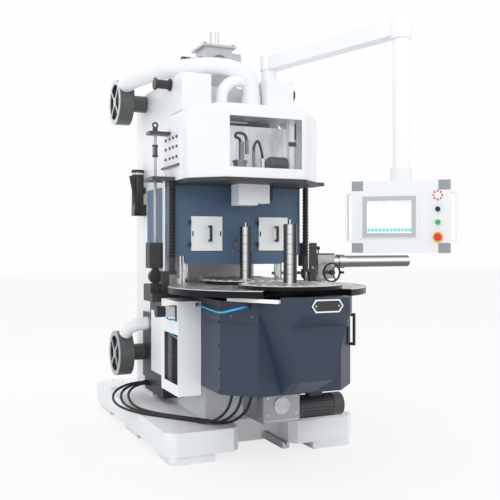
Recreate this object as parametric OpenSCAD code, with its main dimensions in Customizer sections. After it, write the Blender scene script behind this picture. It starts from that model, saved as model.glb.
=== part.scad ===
// Spring end grinding machine: two loading discs on an indexing turret pass between two
// grinding wheels on one vertical axis. Millimetres, +Z up, front towards -Y.
// The origin is the centre of the four anchor holes at floor level. Depths are measured
// from the turret axis, and at_turret() carries them to the part's own frame.

/* [Base] */
// Width of the cast base
base_w = 1266; // [1200:2:1400]
// Length of the base, from the turret axis to the back
base_len = 1887; // [1800:1:2000]
// Height of the base's top above the floor
base_top = 190; // [160:5:200]
// Height of the foot pads
pad_h = 50; // [30:5:80]
// Width of the front notch
notch_w = 340; // [280:10:360]
// Depth of the front notch
notch_d = 190; // [150:5:220]
// Distance of the anchor holes from the middle plane
anchor_x = 520; // [490:5:560]
// Front anchor holes, behind the turret axis
anchor_front = 120; // [100:5:160]
// Rear anchor holes, behind the turret axis
anchor_rear = 1760; // [1650:5:1780]
// Diameter of an anchor hole
anchor_d = 24; // [18:1:30]

/* [Column] */
// Half width of the column
column_x = 400; // [380:5:405]
// Height of the column
column_top = 2395; // [2350:5:2450]
// Depth of the rear column
column_d = 408; // [390:2:440]
// Underside of the upper beam
beam_z = 2150; // [2149:1:2180]
// Underside of the cheeks
cheek_z = 1672; // [1671:1:1700]
// Half width of the recess in the beam
recess_x = 200; // [170:5:205]
// Half width of the lower arm
arm_x = 300; // [280:5:300]
// Top of the lower arm
arm_top = 640; // [600:10:700]

/* [Housing] */
// Half width of the lower housing
housing_x = 419; // [415:1:425]
// Distance of the housing's front face from the turret axis
housing_front = 445; // [420:5:460]
// Size of the corner chamfers
housing_chamfer = 160; // [140:5:180]
// Top of the lower housing
deck_z = 977; // [960:1:980]
// Underside of the housing's front part
skirt_z = 458; // [455:1:470]
// Wall of the lower housing
housing_wall = 6; // [4:1:8]
// How far the cowl stands out at its lip, from the turret axis
cowl_front = 740; // [700:5:760]

/* [Head] */
// Half width of the head shell
head_x = 447; // [446:1:449]
// Half width of the head's front facet
head_facet_x = 266; // [256:1:276]
// Underside of the head
head_z = 1669; // [1660:1:1670]
// Top of the head shell
head_top = 2146; // [2120:1:2147]
// Thickness of the head's base plate
head_plate_t = 24; // [20:1:28]
// Wall of the head shell
head_wall = 8; // [5:1:10]
// Lower edge of the chamber shroud
shroud_z = 1166; // [1160:1:1180]
// Travel of the head, downwards
head_travel = 60; // [40:5:60]
// Side of a chamber door
door_w = 222; // [200:2:230]

/* [Wheels and turret] */
// Radius of the grinding wheels
wheel_r = 290; // [270:2:292]
// Distance of the wheel axis behind the turret axis
wheel_y = 740; // [730:2:745]
// Thickness of an abrasive ring
wheel_t = 58; // [40:2:60]
// Top of the lower wheel at rest
lower_wheel_z = 998; // [994:1:998]
// Underside of the upper wheel at rest
upper_wheel_z = 1165; // [1165:1:1175]
// Lift of the lower wheel
lower_lift = 40; // [20:5:40]
// Radius of the turret
turret_r = 600; // [580:2:602]
// Underside of the turret
turret_z = 1000; // [1000:1:1004]
// Thickness of the turret
turret_t = 40; // [36:1:40]
// Distance of a disc's axis from the turret axis
disc_y = 316; // [306:1:316]
// Radius of a loading disc
disc_r = 295; // [260:1:295]
// Thickness of a loading disc
disc_t = 24; // [16:1:24]
// Diameter of a loading hole
load_hole_d = 26; // [12:1:34]
// Loading holes in a disc
load_holes = 24; // [12:1:30]
// Radius of a disc's post
post_r = 39; // [30:1:40]
// Height of a disc's post
post_h = 340; // [280:5:350]

/* [Guides] */
// Radius of the guide pillars
pillar_r = 27; // [24:1:28]
// Radius of the thin guide rods
guide_rod_r = 12.5; // [8:0.5:14]
// Outer radius of the bellows
bellows_r = 22; // [18:1:23]
// Ribs on one bellows
bellows_ribs = 22; // [12:1:30]

/* [Blowers and ducts] */
// Radius of a blower drum
blower_r = 160; // [140:2:163]
// Height of the upper blower's axis
blower_top_z = 2323; // [2300:1:2330]
// Height of the lower blower's axis
blower_low_z = 499; // [495:1:520]
// Radius of the fume duct
duct_r = 58; // [50:1:58]

/* [Top and pendant] */
// Radius of the lift screw
screw_r = 38.5; // [34:0.5:40]
// Top of the lift screw
screw_top = 2806; // [2790:1:2830]
// Height of the screw jack over the column
jack_h = 300; // [260:5:320]
// Reach of the pendant arm
pendant_reach = 1145; // [1100:5:1180]
// Height of the pendant arm's axis
pendant_z = 2525; // [2510:1:2560]
// Width of the operator panel's body
panel_w = 546; // [500:2:580]
// Underside of the operator panel
panel_z = 1240; // [1240:1:1260]
// Height of the operator panel
panel_h = 408; // [380:2:408]

/* [Dresser] */
// Height of the dresser tube's axis
dresser_z = 1165; // [1160:1:1175]
// Radius of the dresser tube
dresser_r = 42.5; // [36:0.5:46]
// End of the dresser tube, from the middle plane
dresser_end = 1465; // [1300:5:1500]
// Radius of the handwheel's rim
handwheel_r = 65; // [50:1:68]

/* [Hidden] */
$fn = 48;

// Overrun of a cut beyond its solid
over = 3;
// Lap of solids that are cast in one piece
lap = 2;
// Radial clearance of a shaft in its bore
run = 0.05;
// Gap between faces that turn or slide on each other
gap = 0.5;
turret_y = -(anchor_front + anchor_rear) / 2;
half_base = base_w / 2;
// Corner chamfer of the base
base_chamfer = 60;
// Chamfer at the mouth of the notch
notch_chamfer = 46;
// Foot pads: width inwards from the base's side, then start and end behind the turret axis
pad_w = 275;
mid_pad_w = 190;
pad_front_end = 240;
mid_pad = [719, 1037];
rear_pad_start = 1475;
// Inward set of the pads from the base's side
pad_inset = 27;
// Raised steps on the base beside the column
step_h = 18;
step_in = 30;

// Front of the rear column, and of the beam, cheeks and lower arm
column_front = 1080;
column_back = column_front + column_d;
beam_front = 418;
cheek_front = 650;
cheek_in = 330;
arm_front = 260;
arm_wall = 50;
arm_floor = 300;
recess_back = 760;
// Cabinet in the back of the column
cavity_x = 330;
cavity_front = 1180;
cavity_z = [320, 2050];
jack_y = 890;
beam_hole_r = screw_r + 4;

// Lower housing
bevel = tan(22.5);
housing_side_y = -housing_front + housing_chamfer;
housing_back = 1253;
deck_end = 1069;
deck_t = 12;
side_drop_y = 340;
side_drop_z = 326;
side_step_z = 798;
skirt_t = 8;
wheel_hole_r = wheel_r + 15;
seam_z = 855;
seam_w = 4;
seam_depth = 2;
stay_y = [1110, 1253];
stay_z = [340, 780];

// Cowl: heights of its rings, and half widths and depths of their points
cowl_back = housing_front;
cowl_z = [465, 560, 848, 925, 985];
cowl_back_x = [120, 150, 232, 259, 259];
cowl_mid_x = [80, 105, 185, 205, 205];
cowl_tip_x = [70, 97, 172, 137, 137];
// How far the rings' middle and tip points stand out of the housing's front, as shares
cowl_mid_share = [0.03, 0.56, 0.59, 0.695, 0.695];
cowl_tip_share = [0.04, 0.65, 0.695, 1, 1];
cowl_wall = 5;
lip_h = 24;
lip_back_share = 0.6;
cowl_out = cowl_front - housing_front;

// Turret and discs
turret_top = turret_z + turret_t;
cut_r = 300;
cut_y = 660;
turret_shaft_r = 50;
hub_r = 80;
disc_shaft_r = 20;
disc_z = turret_top + gap;
disc_top = disc_z + disc_t;
load_ring_r = 262;
post_rings = 12;
post_groove = 2;
post_knob_r = 12;
post_knob_h = 25;
disc_shaft_z = turret_z - 15;
index_floor = 300;

// Wheels and spindles
plate_t = 27;
hub_h = 11;
wheel_hub_r = 60;
spindle_r = 40;
cartridge_r = 95;
quill_r = 100;
quill_z = 560;
block_floor = 300;
block_top = 870;
block_x = 150;
quill_bore_z = 500;
cartridge_top = 2050;
cartridge_flange_r = 130;
slide_x = 300;
slide_y = [480, 1010];
slide_top = 2060;
slide_wall = 50;
rail_x = 180;
rail_w = 30;
rail_h = 28;
rail_z = [1610, 2145];
carriage_w = 74;
carriage_z = [[1720, 1820], [1950, 2050]];

// Head shell and shroud
head_front = -4;
head_side_y = head_front + head_x - head_facet_x;
head_back = 640;
rim = 6;
plate_top = head_z + head_plate_t;
shell_chamfer = 48;
window_x = 244;
window_z = [1755, 2063];
pane_t = 5;
pane_lap = 8;
tongue_x = 318;
tongue_end = 1000;
collar_x = 130;
collar_y = 520;
collar_r = duct_r + 7;
collar_h = 144;
collar_bore = duct_r + 1;
shroud_y = 417;
shroud_x = 448;
shroud_t = 4;
shroud_back = 1040;
shroud_notch_x = 378;
shroud_notch_h = 50;
port_z = 1292;
port_r = 38;
port_rim = 6;
lip_x = 300;
lip_t = 8;

// Chamber doors: their left edges, where the hinges are
door_left_x = -349;
door_right_x = 128;
door_z = 1248;
door_t = 10;
door_land = 9;
hinge_r = 4;
knuckle_r = 7.5;
knuckle_h = 20;
knuckle_in = 30;
lug_t = 6;
lug_gap = 0.3;
pull_h = 104;
pull_bar = 14;
pull_out = 38;
pull_x_share = 0.56;

// Guides at the sides
pillar_x = 345;
pillar_y = 545;
pillar_top = 1765;
rod_x0 = 513;
rod_y0 = 430;
rod_top = 1740;
bellows_x = 476;
bellows_y = 388;
bellows_z = 1208;
bellows_bore = 12;
bellows_depth = 6;
shelf_z = 1690;
shelf_t = 24;
shelf_end = 612;
balance_x = 553;
balance_y = 500;
balance_w = 100;
balance_d = 90;
balance_z = [1138, 1300];
balance_rod_r = 10;
eye_r = 43;
eye_z = 1084;
eye_w = 40;
bracket_z = [930, 985];
riser_top = 1037;
bracket_in = 500;
bellows_arm_z = [1100, 1120];

// Side cabinet
cabinet_x = 561;
cabinet_y = [17, 339];
cabinet_z = [400, 955];
cabinet_wall = 5;
cabinet_window_y = [25, 290];
cabinet_window_z = [464, 759];
side_plate_t = 6;
side_plate_y = [341, 1022];
side_plate_z = [396, 826];
light_t = 20;

// Blowers
blower_x = -634;
blower_d = 108;
blower_y = 1250;
blower_wall = 6;
inlet_r = 128;
spoke_w = 16;
spoke_hub_r = 32;
blower_motor_r = 60;
impeller_r = 122;
blades = 12;
blade_t = 5;
shaft_r = 12;

// Pendant and panel
post_x = 265;
post_y = 520;
pendant_post_r = 52;
arm_angle = -74.4;
arm_w = 90;
cap_r = 60;
drop_r = 46.5;
panel_turn = -40;
panel_d = 120;
panel_end_x = 572;
panel_end_y = -583;
panel_top = panel_z + panel_h;
collar_top = panel_top + 72;
pendant_collar_r = 60;
control_x = 205;

// Dresser
dresser_y = 600;
ram_r = 20;
clamp_x = [655, 790];
clamp_y = [530, 640];
clamp_z = [1045, 1225];
feed_x = 736;
feed_z = 1091;
pinion_r = 10;
blade_z = [1078, 1098];
blade_w = 28;
blade_tip = 330;
yoke_x = [605, 635];

// Routes of the cables and of the air tube, behind the turret axis
CABLE_R = 8.5;
TUBE_R = 6;
ROUTE_A = [
    [-425, 1210, 280], [-470, 1210, 280], [-545, 1195, 274], [-615, 1155, 262], [-670, 1090, 246],
    [-704, 1005, 230], [-716, 910, 216], [-708, 815, 206], [-686, 725, 201], [-655, 640, 199],
    [-615, 560, 199], [-560, 480, 199], [-502, 400, 199], [-444, 320, 199], [-386, 240, 199],
    [-350, 165, 202], [-316, 90, 222], [-288, 25, 262], [-266, -28, 318], [-254, -54, 385],
    [-250, -60, 430], [-250, -60, 458]
];
ROUTE_B = [
    [-425, 1170, 280], [-470, 1170, 280], [-535, 1152, 272], [-590, 1115, 258], [-630, 1055, 242],
    [-654, 975, 227], [-664, 885, 214], [-658, 790, 205], [-637, 700, 201], [-605, 612, 199],
    [-565, 532, 199], [-510, 452, 199], [-452, 372, 199], [-394, 292, 199], [-336, 212, 199],
    [-300, 137, 202], [-266, 62, 222], [-238, -3, 262], [-216, -56, 318], [-204, -82, 385],
    [-200, -88, 430], [-200, -88, 458]
];
ROUTE_C = [
    [-425, 1130, 280], [-465, 1130, 280], [-520, 1112, 270], [-562, 1075, 254], [-592, 1015, 238],
    [-608, 940, 224], [-614, 850, 212], [-608, 760, 204], [-588, 672, 200], [-555, 584, 199],
    [-515, 504, 199], [-460, 424, 199], [-402, 344, 199], [-344, 264, 199], [-286, 184, 199],
    [-250, 109, 202], [-216, 34, 222], [-188, -31, 262], [-166, -84, 318], [-154, -110, 385],
    [-150, -116, 430], [-150, -116, 458]
];
AIR_ROUTE = [
    [-445, -3, 933], [-445, -40, 933], [-446, -110, 930], [-448, -190, 925], [-450, -270, 921],
    [-450, -340, 920], [-450, -390, 922], [-445, -416, 926], [-430, -438, 932], [-407, -453, 939],
    [-380, -459, 945], [-353, -453, 949], [-330, -438, 950], [-312, -420, 950]
];

module at_turret() {
    translate([0, turret_y, 0]) children();
}

module both_sides() {
    children();
    mirror([1, 0, 0]) children();
}

// Block between limits along X, Y and Z
module block(x, y, z) {
    translate([x[0], y[0], z[0]]) cube([x[1] - x[0], y[1] - y[0], z[1] - z[0]]);
}

// Round bars along Z, X and Y
module bar_z(x, y, z, r) {
    translate([x, y, z[0]]) cylinder(r = r, h = z[1] - z[0]);
}

module bar_x(x, y, z, r) {
    translate([x[0], y, z]) rotate([0, 90, 0]) cylinder(r = r, h = x[1] - x[0]);
}

module bar_y(x, y, z, r) {
    translate([x, y[0], z]) rotate([-90, 0, 0]) cylinder(r = r, h = y[1] - y[0]);
}

module ring_z(x, y, z, r, bore) {
    difference() {
        bar_z(x, y, z, r);
        bar_z(x, y, [z[0] - over, z[1] + over], bore);
    }
}

// Tube swept along a route's own points
function unit(v) = v / norm(v);
function along(p, i) = unit(p[min(i + 1, len(p) - 1)] - p[max(i - 1, 0)]);
function side(t) = unit(cross(t, abs(t.z) > 0.9 ? [1, 0, 0] : [0, 0, 1]));
function carried(p, i) = i == 0 ? side(along(p, 0)) :
    let (t = along(p, i), u = carried(p, i - 1)) unit(u - t * (u * t));
function hoop(p, i, r, n) = let (t = along(p, i), u = carried(p, i), v = cross(t, u))
    [for (k = [0 : n - 1]) p[i] + r * (u * cos(360 * k / n) + v * sin(360 * k / n))];

module sweep(p, r, n = 8) {
    loft([for (i = [0 : len(p) - 1]) hoop(p, i, r, n)]);
}

// Solid lofted through rings that have the same number of points, lowest ring first
module loft(rings) {
    n = len(rings[0]);
    m = len(rings);
    walls = [for (i = [0 : m - 2], k = [0 : n - 1])
        let (a = i * n + k, b = i * n + (k + 1) % n) each [[a, a + n, b + n], [a, b + n, b]]];
    caps = [[for (k = [0 : n - 1]) k], [for (k = [0 : n - 1]) m * n - 1 - k]];
    polyhedron([for (r = rings) each r], concat(walls, caps));
}

// Curve through hand-set points, as many steps to each stretch
function bend(a, b, c, d, t) = 0.5 * ((2 * b) + (c - a) * t + (2 * a - 5 * b + 4 * c - d) * t * t
    + (3 * b - a - 3 * c + d) * t * t * t);
function curve(p, steps) = concat([for (i = [0 : len(p) - 2], s = [0 : steps - 1])
    bend(p[max(i - 1, 0)], p[i], p[i + 1], p[min(i + 2, len(p) - 1)], s / steps)], [p[len(p) - 1]]);

module base_outline() {
    polygon([
        [-half_base + base_chamfer, 0], [-notch_w / 2 - notch_chamfer, 0], [-notch_w / 2, notch_chamfer],
        [-notch_w / 2, notch_d], [notch_w / 2, notch_d], [notch_w / 2, notch_chamfer],
        [notch_w / 2 + notch_chamfer, 0], [half_base - base_chamfer, 0], [half_base, base_chamfer],
        [half_base, base_len - base_chamfer], [half_base - base_chamfer, base_len],
        [-half_base + base_chamfer, base_len], [-half_base, base_len - base_chamfer],
        [-half_base, base_chamfer]
    ]);
}

module foot_pad(w, y) {
    block([half_base - pad_inset - w, half_base - pad_inset], y, [0, pad_h + lap]);
}

module base_casting() {
    color("whitesmoke") at_turret() difference() {
        union() {
            translate([0, 0, pad_h]) linear_extrude(base_top - pad_h) base_outline();
            intersection() {
                linear_extrude(pad_h + lap) base_outline();
                both_sides() {
                    foot_pad(pad_w, [pad_inset / 2, pad_front_end]);
                    foot_pad(mid_pad_w, mid_pad);
                    foot_pad(pad_w, [rear_pad_start, base_len - pad_inset]);
                }
            }
            both_sides() block([column_x + step_in, half_base - step_in],
                [rear_pad_start, base_len - base_chamfer], [base_top - lap, base_top + step_h]);
        }
        both_sides() for (y = [anchor_front, anchor_rear])
            bar_z(anchor_x, y, [-over, base_top + step_h + over], anchor_d / 2);
    }
}

module column_frame() {
    color("white") at_turret() {
        difference() {
            union() {
                block([-column_x, column_x], [column_front, column_back], [base_top, column_top]);
                block([-column_x, column_x], [beam_front, column_front + lap], [beam_z, column_top]);
                both_sides() block([cheek_in, column_x], [cheek_front, column_front + lap],
                    [cheek_z, beam_z + lap]);
                block([-arm_x, arm_x], [arm_front, column_front + lap], [base_top, arm_top]);
            }
            block([-recess_x, recess_x], [beam_front - over, recess_back], [beam_z - over,
                column_top + over]);
            bar_z(0, jack_y, [beam_z - over, column_top + over], beam_hole_r);
            block([-cavity_x, cavity_x], [cavity_front, column_back + over], cavity_z);
            block([-arm_x + arm_wall, arm_x - arm_wall], [arm_front + arm_wall, column_front],
                [arm_floor, arm_top + over]);
        }
        rear_lugs();
    }
}

// Outline of the housing, drawn in by a wall
function housing_pts(w, back) = [
    [-housing_x + w, back], [-housing_x + w, housing_side_y + w * bevel],
    [-housing_x + housing_chamfer + w * bevel, -housing_front + w],
    [housing_x - housing_chamfer - w * bevel, -housing_front + w],
    [housing_x - w, housing_side_y + w * bevel], [housing_x - w, back]
];

module housing_shell() {
    inside = housing_x - housing_wall;
    difference() {
        union() {
            translate([0, 0, skirt_z]) linear_extrude(deck_z - skirt_z) polygon(housing_pts(0, deck_end));
            block([-housing_x, housing_x], [side_drop_y, deck_end], [side_drop_z, skirt_z + lap]);
            block([-housing_x, housing_x], [deck_end - lap, housing_back], [side_drop_z, side_step_z]);
        }
        translate([0, 0, skirt_z + skirt_t]) linear_extrude(deck_z - deck_t - skirt_z - skirt_t)
            polygon(housing_pts(housing_wall, deck_end + over));
        block([-inside, inside], [arm_front, housing_back + over], [side_drop_z - over,
            skirt_z + skirt_t + lap]);
        block([-inside, inside], [deck_end - over, housing_back + over], [skirt_z, side_step_z + over]);
        bar_z(0, 0, [skirt_z - over, skirt_z + skirt_t + over], turret_shaft_r + gap);
        bar_z(0, 0, [deck_z - deck_t - over, deck_z + over], hub_r + 2 * gap);
        bar_z(0, wheel_y, [deck_z - deck_t - over, deck_z + over], wheel_hole_r);
        translate([0, 0, seam_z]) linear_extrude(seam_w) difference() {
            polygon(housing_pts(-over, side_drop_y));
            polygon(housing_pts(seam_depth, side_drop_y + over));
        }
    }
}

module lower_housing() {
    color("slategray") at_turret() difference() {
        union() {
            housing_shell();
            both_sides() block([column_x, housing_x - housing_wall + lap / 2], stay_y, stay_z);
        }
        bar_x([-housing_x - over, -column_x + over], blower_y, blower_low_z, blower_motor_r + gap);
    }
}

// One ring of the cowl, drawn in by a wall
function cowl_ring(i, w, z) = let (
    back = -cowl_back + (w > 0 ? over : 0),
    mid = -cowl_back - max(cowl_out * cowl_mid_share[i] - w, 0),
    tip = -cowl_back - max(cowl_out * cowl_tip_share[i] - w, 0)
) [
    [-cowl_back_x[i] + w, back, z], [-cowl_mid_x[i] + w, mid, z], [-cowl_tip_x[i] + w, tip, z],
    [cowl_tip_x[i] - w, tip, z], [cowl_mid_x[i] - w, mid, z], [cowl_back_x[i] - w, back, z]
];

module front_cowl() {
    top = len(cowl_z) - 1;
    color("slategray") at_turret() difference() {
        union() {
            loft([for (i = [0 : top]) cowl_ring(i, 0, cowl_z[i])]);
            translate([0, 0, cowl_z[top] - lap]) linear_extrude(lip_h + lap) difference() {
                polygon([for (q = cowl_ring(top, 0, 0)) [q.x, q.y]]);
                translate([-housing_x, -cowl_back - cowl_out * lip_back_share])
                    square([2 * housing_x, cowl_out]);
            }
        }
        loft([for (i = [1 : top]) cowl_ring(i, cowl_wall, cowl_z[i] - (i == top ? cowl_wall : 0))]);
    }
}

// Screw head on a face: place, direction as a turn about Z, and size
module screw_head(p, turn, r, h) {
    translate(p) rotate([0, 0, turn]) rotate([90, 0, 0]) cylinder(r = r, h = h);
}

seam_screws = [473, 600, 727, 860];
screw_r0 = 7;
screw_h0 = 5;
name_w = 190;
name_h = 70;
name_t = 4;
name_z = 968;
// Handle and latch on the right chamfer: distance of the handle from the chamfer's corner
grip_in = 22;
grip_z = [689, 880];
grip_r = 9;
grip_out = 28;
latch_y = [-62, -28];
latch_z = [708, 802];

module housing_hardware() {
    color("dimgray") at_turret() {
        both_sides() for (z = seam_screws)
            screw_head([-housing_x, housing_side_y + 2 * screw_r0, z], -90, screw_r0, screw_h0);
        translate([0, -cowl_front, name_z]) rotate([90, 0, 0]) linear_extrude(name_t) polygon([
            [-name_w / 2, 0], [-name_w / 2 + name_h / 3, -name_h / 2], [name_w / 2 - name_h / 3,
                -name_h / 2],
            [name_w / 2, 0], [name_w / 2 - name_h / 3, name_h / 2], [-name_w / 2 + name_h / 3, name_h / 2]
        ]);
        translate([housing_x, housing_side_y, 0]) rotate([0, 0, -45]) translate([0, -grip_in, 0]) {
            bar_z(grip_out, 0, grip_z, grip_r);
            for (z = [grip_z[0] + grip_r, grip_z[1] - grip_r]) bar_x([0, grip_out], 0, z, grip_r);
            block([0, grip_r], latch_y, latch_z);
        }
    }
}

module side_cabinet() {
    w = cabinet_wall;
    color("white") at_turret() difference() {
        block([-cabinet_x, -housing_x], cabinet_y, cabinet_z);
        block([-cabinet_x + w, -housing_x + over], [cabinet_y[0] + w, cabinet_y[1] - w],
            [cabinet_z[0] + w, cabinet_z[1] - w]);
        block([-cabinet_x - over, -cabinet_x + w + over], cabinet_window_y, cabinet_window_z);
    }
}

bar_start_share = 0.24;
bar_end_share = 0.6;
light_z = deck_z;

// Side plate on the housing, and the pale bar from the chamfer to the cowl under the turret
module access_plates() {
    a = [-housing_x + housing_chamfer * bar_start_share,
        housing_side_y - housing_chamfer * bar_start_share];
    b = [-cowl_back_x[4] + (cowl_back_x[4] - cowl_mid_x[4]) * bar_end_share / cowl_mid_share[4],
        -cowl_back - cowl_out * bar_end_share];
    reach = b - a;
    color("white") at_turret() {
        block([-housing_x - side_plate_t, -housing_x], side_plate_y, side_plate_z);
        translate([a.x, a.y, light_z]) rotate([0, 0, atan2(reach.y, reach.x)])
            translate([0, -light_t, 0]) cube([norm(reach), light_t, light_t]);
    }
}

regulator_y = 85;
regulator_z = 895;
regulator_r = 32;
regulator_l = 52;
regulator_block = 62;
fitting_r = 10;

module air_regulator() {
    a = AIR_ROUTE[0];
    b = AIR_ROUTE[len(AIR_ROUTE) - 1];
    s = regulator_block / 2;
    color("dimgray") at_turret() {
        block([-cabinet_x - regulator_block, -cabinet_x], [regulator_y - s, regulator_y + s],
            [regulator_z - s, regulator_z + s]);
        bar_x([-cabinet_x - regulator_block - regulator_l, -cabinet_x - regulator_block], regulator_y,
            regulator_z, regulator_r);
        bar_y(a.x, [a.y, cabinet_y[0]], a.z, fitting_r);
        translate(b) rotate([0, 0, 45]) rotate([0, 90, 0])
            cylinder(r = fitting_r, h = (housing_side_y - housing_x - b.x - b.y) / sqrt(2));
    }
}

cable_box_y = [800, 1250];
cable_box_h = 96;
gland_r = 14;
gland_l = 20;

module cable_box() {
    color("black") at_turret() {
        difference() {
            block([ROUTE_A[0].x + gland_l, -arm_x], cable_box_y, [side_drop_z - cable_box_h,
                side_drop_z]);
            block([-column_x - over, 0], [column_front - gap, column_back], [0, side_drop_z + over]);
        }
        block([ROUTE_A[0].x + gland_l, -column_x], [column_front - lap, cable_box_y[1]],
            [side_drop_z - cable_box_h, side_drop_z]);
        for (p = [ROUTE_A[0], ROUTE_B[0], ROUTE_C[0]]) bar_x([p.x, p.x + gland_l], p.y, p.z, gland_r);
    }
}

module guide_bracket() {
    arm_in = bracket_in + 2;
    color("dimgray") {
        block([housing_x, shelf_end], [bellows_y - bellows_r - 4 * gap, balance_y + 60], bracket_z);
        block([bracket_in, shelf_end], [rod_y0 - 2 * guide_rod_r, balance_y + 60],
            [bracket_z[1] - lap, riser_top]);
        block([arm_in, arm_in + 2 * bellows_r], [bellows_y - bellows_r, rod_y0 - 2 * guide_rod_r + lap],
            [bracket_z[1] - lap, bellows_arm_z[1]]);
        block([bellows_x - bellows_r, arm_in + lap], [bellows_y - bellows_r, bellows_y + bellows_r],
            bellows_arm_z);
        bar_z(bellows_x, bellows_y, [bellows_arm_z[1] - lap, bellows_z], bellows_r - lap);
    }
}

module guide_brackets() {
    at_turret() both_sides() guide_bracket();
}

module guide_columns() {
    color("silver") at_turret() both_sides() {
        bar_z(pillar_x, pillar_y, [deck_z, pillar_top], pillar_r);
        bar_z(rod_x0, rod_y0, [riser_top, rod_top], guide_rod_r);
    }
}

// Ribbed bellows with its bore
module bellows() {
    h = shelf_z - gap - bellows_z;
    step = h / bellows_ribs;
    outside = [for (i = [0 : bellows_ribs - 1])
        each [[bellows_r - bellows_depth, i * step], [bellows_r, (i + 0.5) * step]]];
    color("black") translate([bellows_x, bellows_y, bellows_z]) rotate_extrude()
        polygon(concat([[bellows_bore, 0]], outside, [[bellows_r - bellows_depth, h], [bellows_bore,
            h]]));
}

module bellows_left() {
    at_turret() mirror([1, 0, 0]) bellows();
}

module bellows_right() {
    at_turret() bellows();
}

module balance_cylinder() {
    w = balance_w / 2;
    difference() {
        block([balance_x - w, balance_x + w], [balance_y - balance_d / 2, balance_y + balance_d / 2],
            balance_z);
        bar_z(balance_x, balance_y, [balance_z[0] + head_travel / 2, balance_z[1] + over],
            balance_rod_r + run);
    }
    bar_y(balance_x, [balance_y - eye_w / 2, balance_y + eye_w / 2], eye_z, eye_r);
    block([balance_x - eye_w / 2, balance_x + eye_w / 2], [balance_y - eye_w / 2, balance_y + eye_w / 2],
        [riser_top, balance_z[0] + lap]);
}

module balance_cylinders() {
    color("dimgray") at_turret() both_sides() balance_cylinder();
}

guard_t = 10;
guard_h = 83;
guard_from = 640;

module wheel_guard() {
    color("silver") at_turret() difference() {
        ring_z(0, wheel_y, [deck_z, deck_z + guard_h], wheel_r + 12 + guard_t, wheel_r + 12);
        block([-wheel_r - 50, wheel_r + 50], [guard_from - turret_r, guard_from], [deck_z - over,
            deck_z + guard_h + over]);
    }
}

gearbox_x = [-126, 109];
gearbox_y = [-225, 75];
gearbox_z = 250;
motor_y = -150;
motor_z = 315;
motor_r = 66;
motor_end = 420;
fan_l = 70;
tube_flange_r = 140;
tube_flange_t = 20;
tube_wall = 30;

module index_drive() {
    flange = skirt_z + skirt_t;
    color("silver") at_turret() {
        difference() {
            union() {
                bar_z(0, 0, [flange, turret_z - 2 * gap - hub_r / 10], turret_shaft_r + tube_wall);
                bar_z(0, 0, [flange, flange + tube_flange_t], tube_flange_r);
            }
            bar_z(0, 0, [flange - over, turret_z + over], turret_shaft_r + run);
        }
        difference() {
            block(gearbox_x, gearbox_y, [gearbox_z, skirt_z]);
            bar_z(0, 0, [index_floor - over, skirt_z + over], turret_shaft_r + run);
        }
        bar_x([gearbox_x[1], motor_end], motor_y, motor_z, motor_r);
        bar_x([motor_end - fan_l, motor_end], motor_y, motor_z, motor_r + 4);
    }
}

rail_seat = [55, 99];
rail_len = 300;
rail_low = 63;
rail_high = 100;
slot_w = 12;
slot_d = 14;

module base_rail() {
    mid = (rail_seat[0] + rail_seat[1]) / 2;
    color("silver") at_turret() difference() {
        block(rail_seat, [notch_d - rail_len, notch_d], [rail_low, rail_high]);
        block([mid - slot_w / 2, mid + slot_w / 2], [notch_d - rail_len - over, notch_d - over],
            [rail_high - slot_d, rail_high + over]);
    }
}

// Middle lines of the ducts, and of the arch that joins the upper one
DUCT_STOPS = [
    [-580, 1230, 2425], [-580, 1130, 2430], [-545, 980, 2448], [-440, 820, 2470], [-310, 690, 2482],
    [-190, 600, 2488], [-60, 550, 2484], [50, 525, 2455], [112, 520, 2400], [130, 520, 2330],
    [130, 520, 2280], [130, 520, 2190]
];
ARCH_STOPS = [
    [-90, 520, 2170], [-90, 520, 2240], [-78, 520, 2315], [-30, 520, 2372], [40, 520, 2394],
    [112, 520, 2380]
];
LOW_STOPS = [
    [-580, 1190, 600], [-578, 1150, 650], [-562, 1115, 690], [-510, 1098, 716], [-455, 1095, 722],
    [-419, 1095, 722]
];
duct_sides = 12;
duct_steps = 2;
arch_r = 40;
arch_at = ARCH_STOPS[0];
arch_collar_h = 90;
low_duct_r = 46;

module fume_ducts() {
    color("white") at_turret() difference() {
        union() {
            sweep(curve(DUCT_STOPS, duct_steps), duct_r, duct_sides);
            sweep(curve(ARCH_STOPS, duct_steps), arch_r, duct_sides);
            sweep(curve(LOW_STOPS, duct_steps), low_duct_r, duct_sides);
        }
        for (z = [blower_top_z, blower_low_z])
            bar_x([blower_x - blower_d, -column_x], blower_y, z, blower_r);
        block([-housing_x, 0], [column_front - low_duct_r, column_back], [arm_top, column_top / 2]);
    }
}

spokes = 4;

// Drum, inlet ring and motor as one turned shape along X, with the spokes across the inlet
module blower_housing(z) {
    w = blower_wall;
    deep = -column_x - blower_x;
    bore = shaft_r + run;
    translate([blower_x, blower_y, z]) rotate([0, 90, 0]) {
        rotate_extrude() polygon([
            [inlet_r, 0], [blower_r, 0], [blower_r, blower_d], [blower_motor_r, blower_d],
            [blower_motor_r, deep], [0, deep], [0, blower_d + blower_motor_r],
            [bore, blower_d + blower_motor_r], [bore, blower_d - w], [blower_r - w, blower_d - w],
            [blower_r - w, w], [inlet_r, w]
        ]);
        cylinder(r = spoke_hub_r, h = w);
        for (i = [0 : spokes - 1]) rotate([0, 0, 45 + 360 * i / spokes])
            translate([spoke_hub_r - lap, -spoke_w / 2, 0])
                cube([inlet_r - spoke_hub_r + 2 * lap, spoke_w, w]);
    }
}

module blower_housings() {
    color("gray") at_turret() {
        blower_housing(blower_top_z);
        blower_housing(blower_low_z);
    }
}

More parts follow.
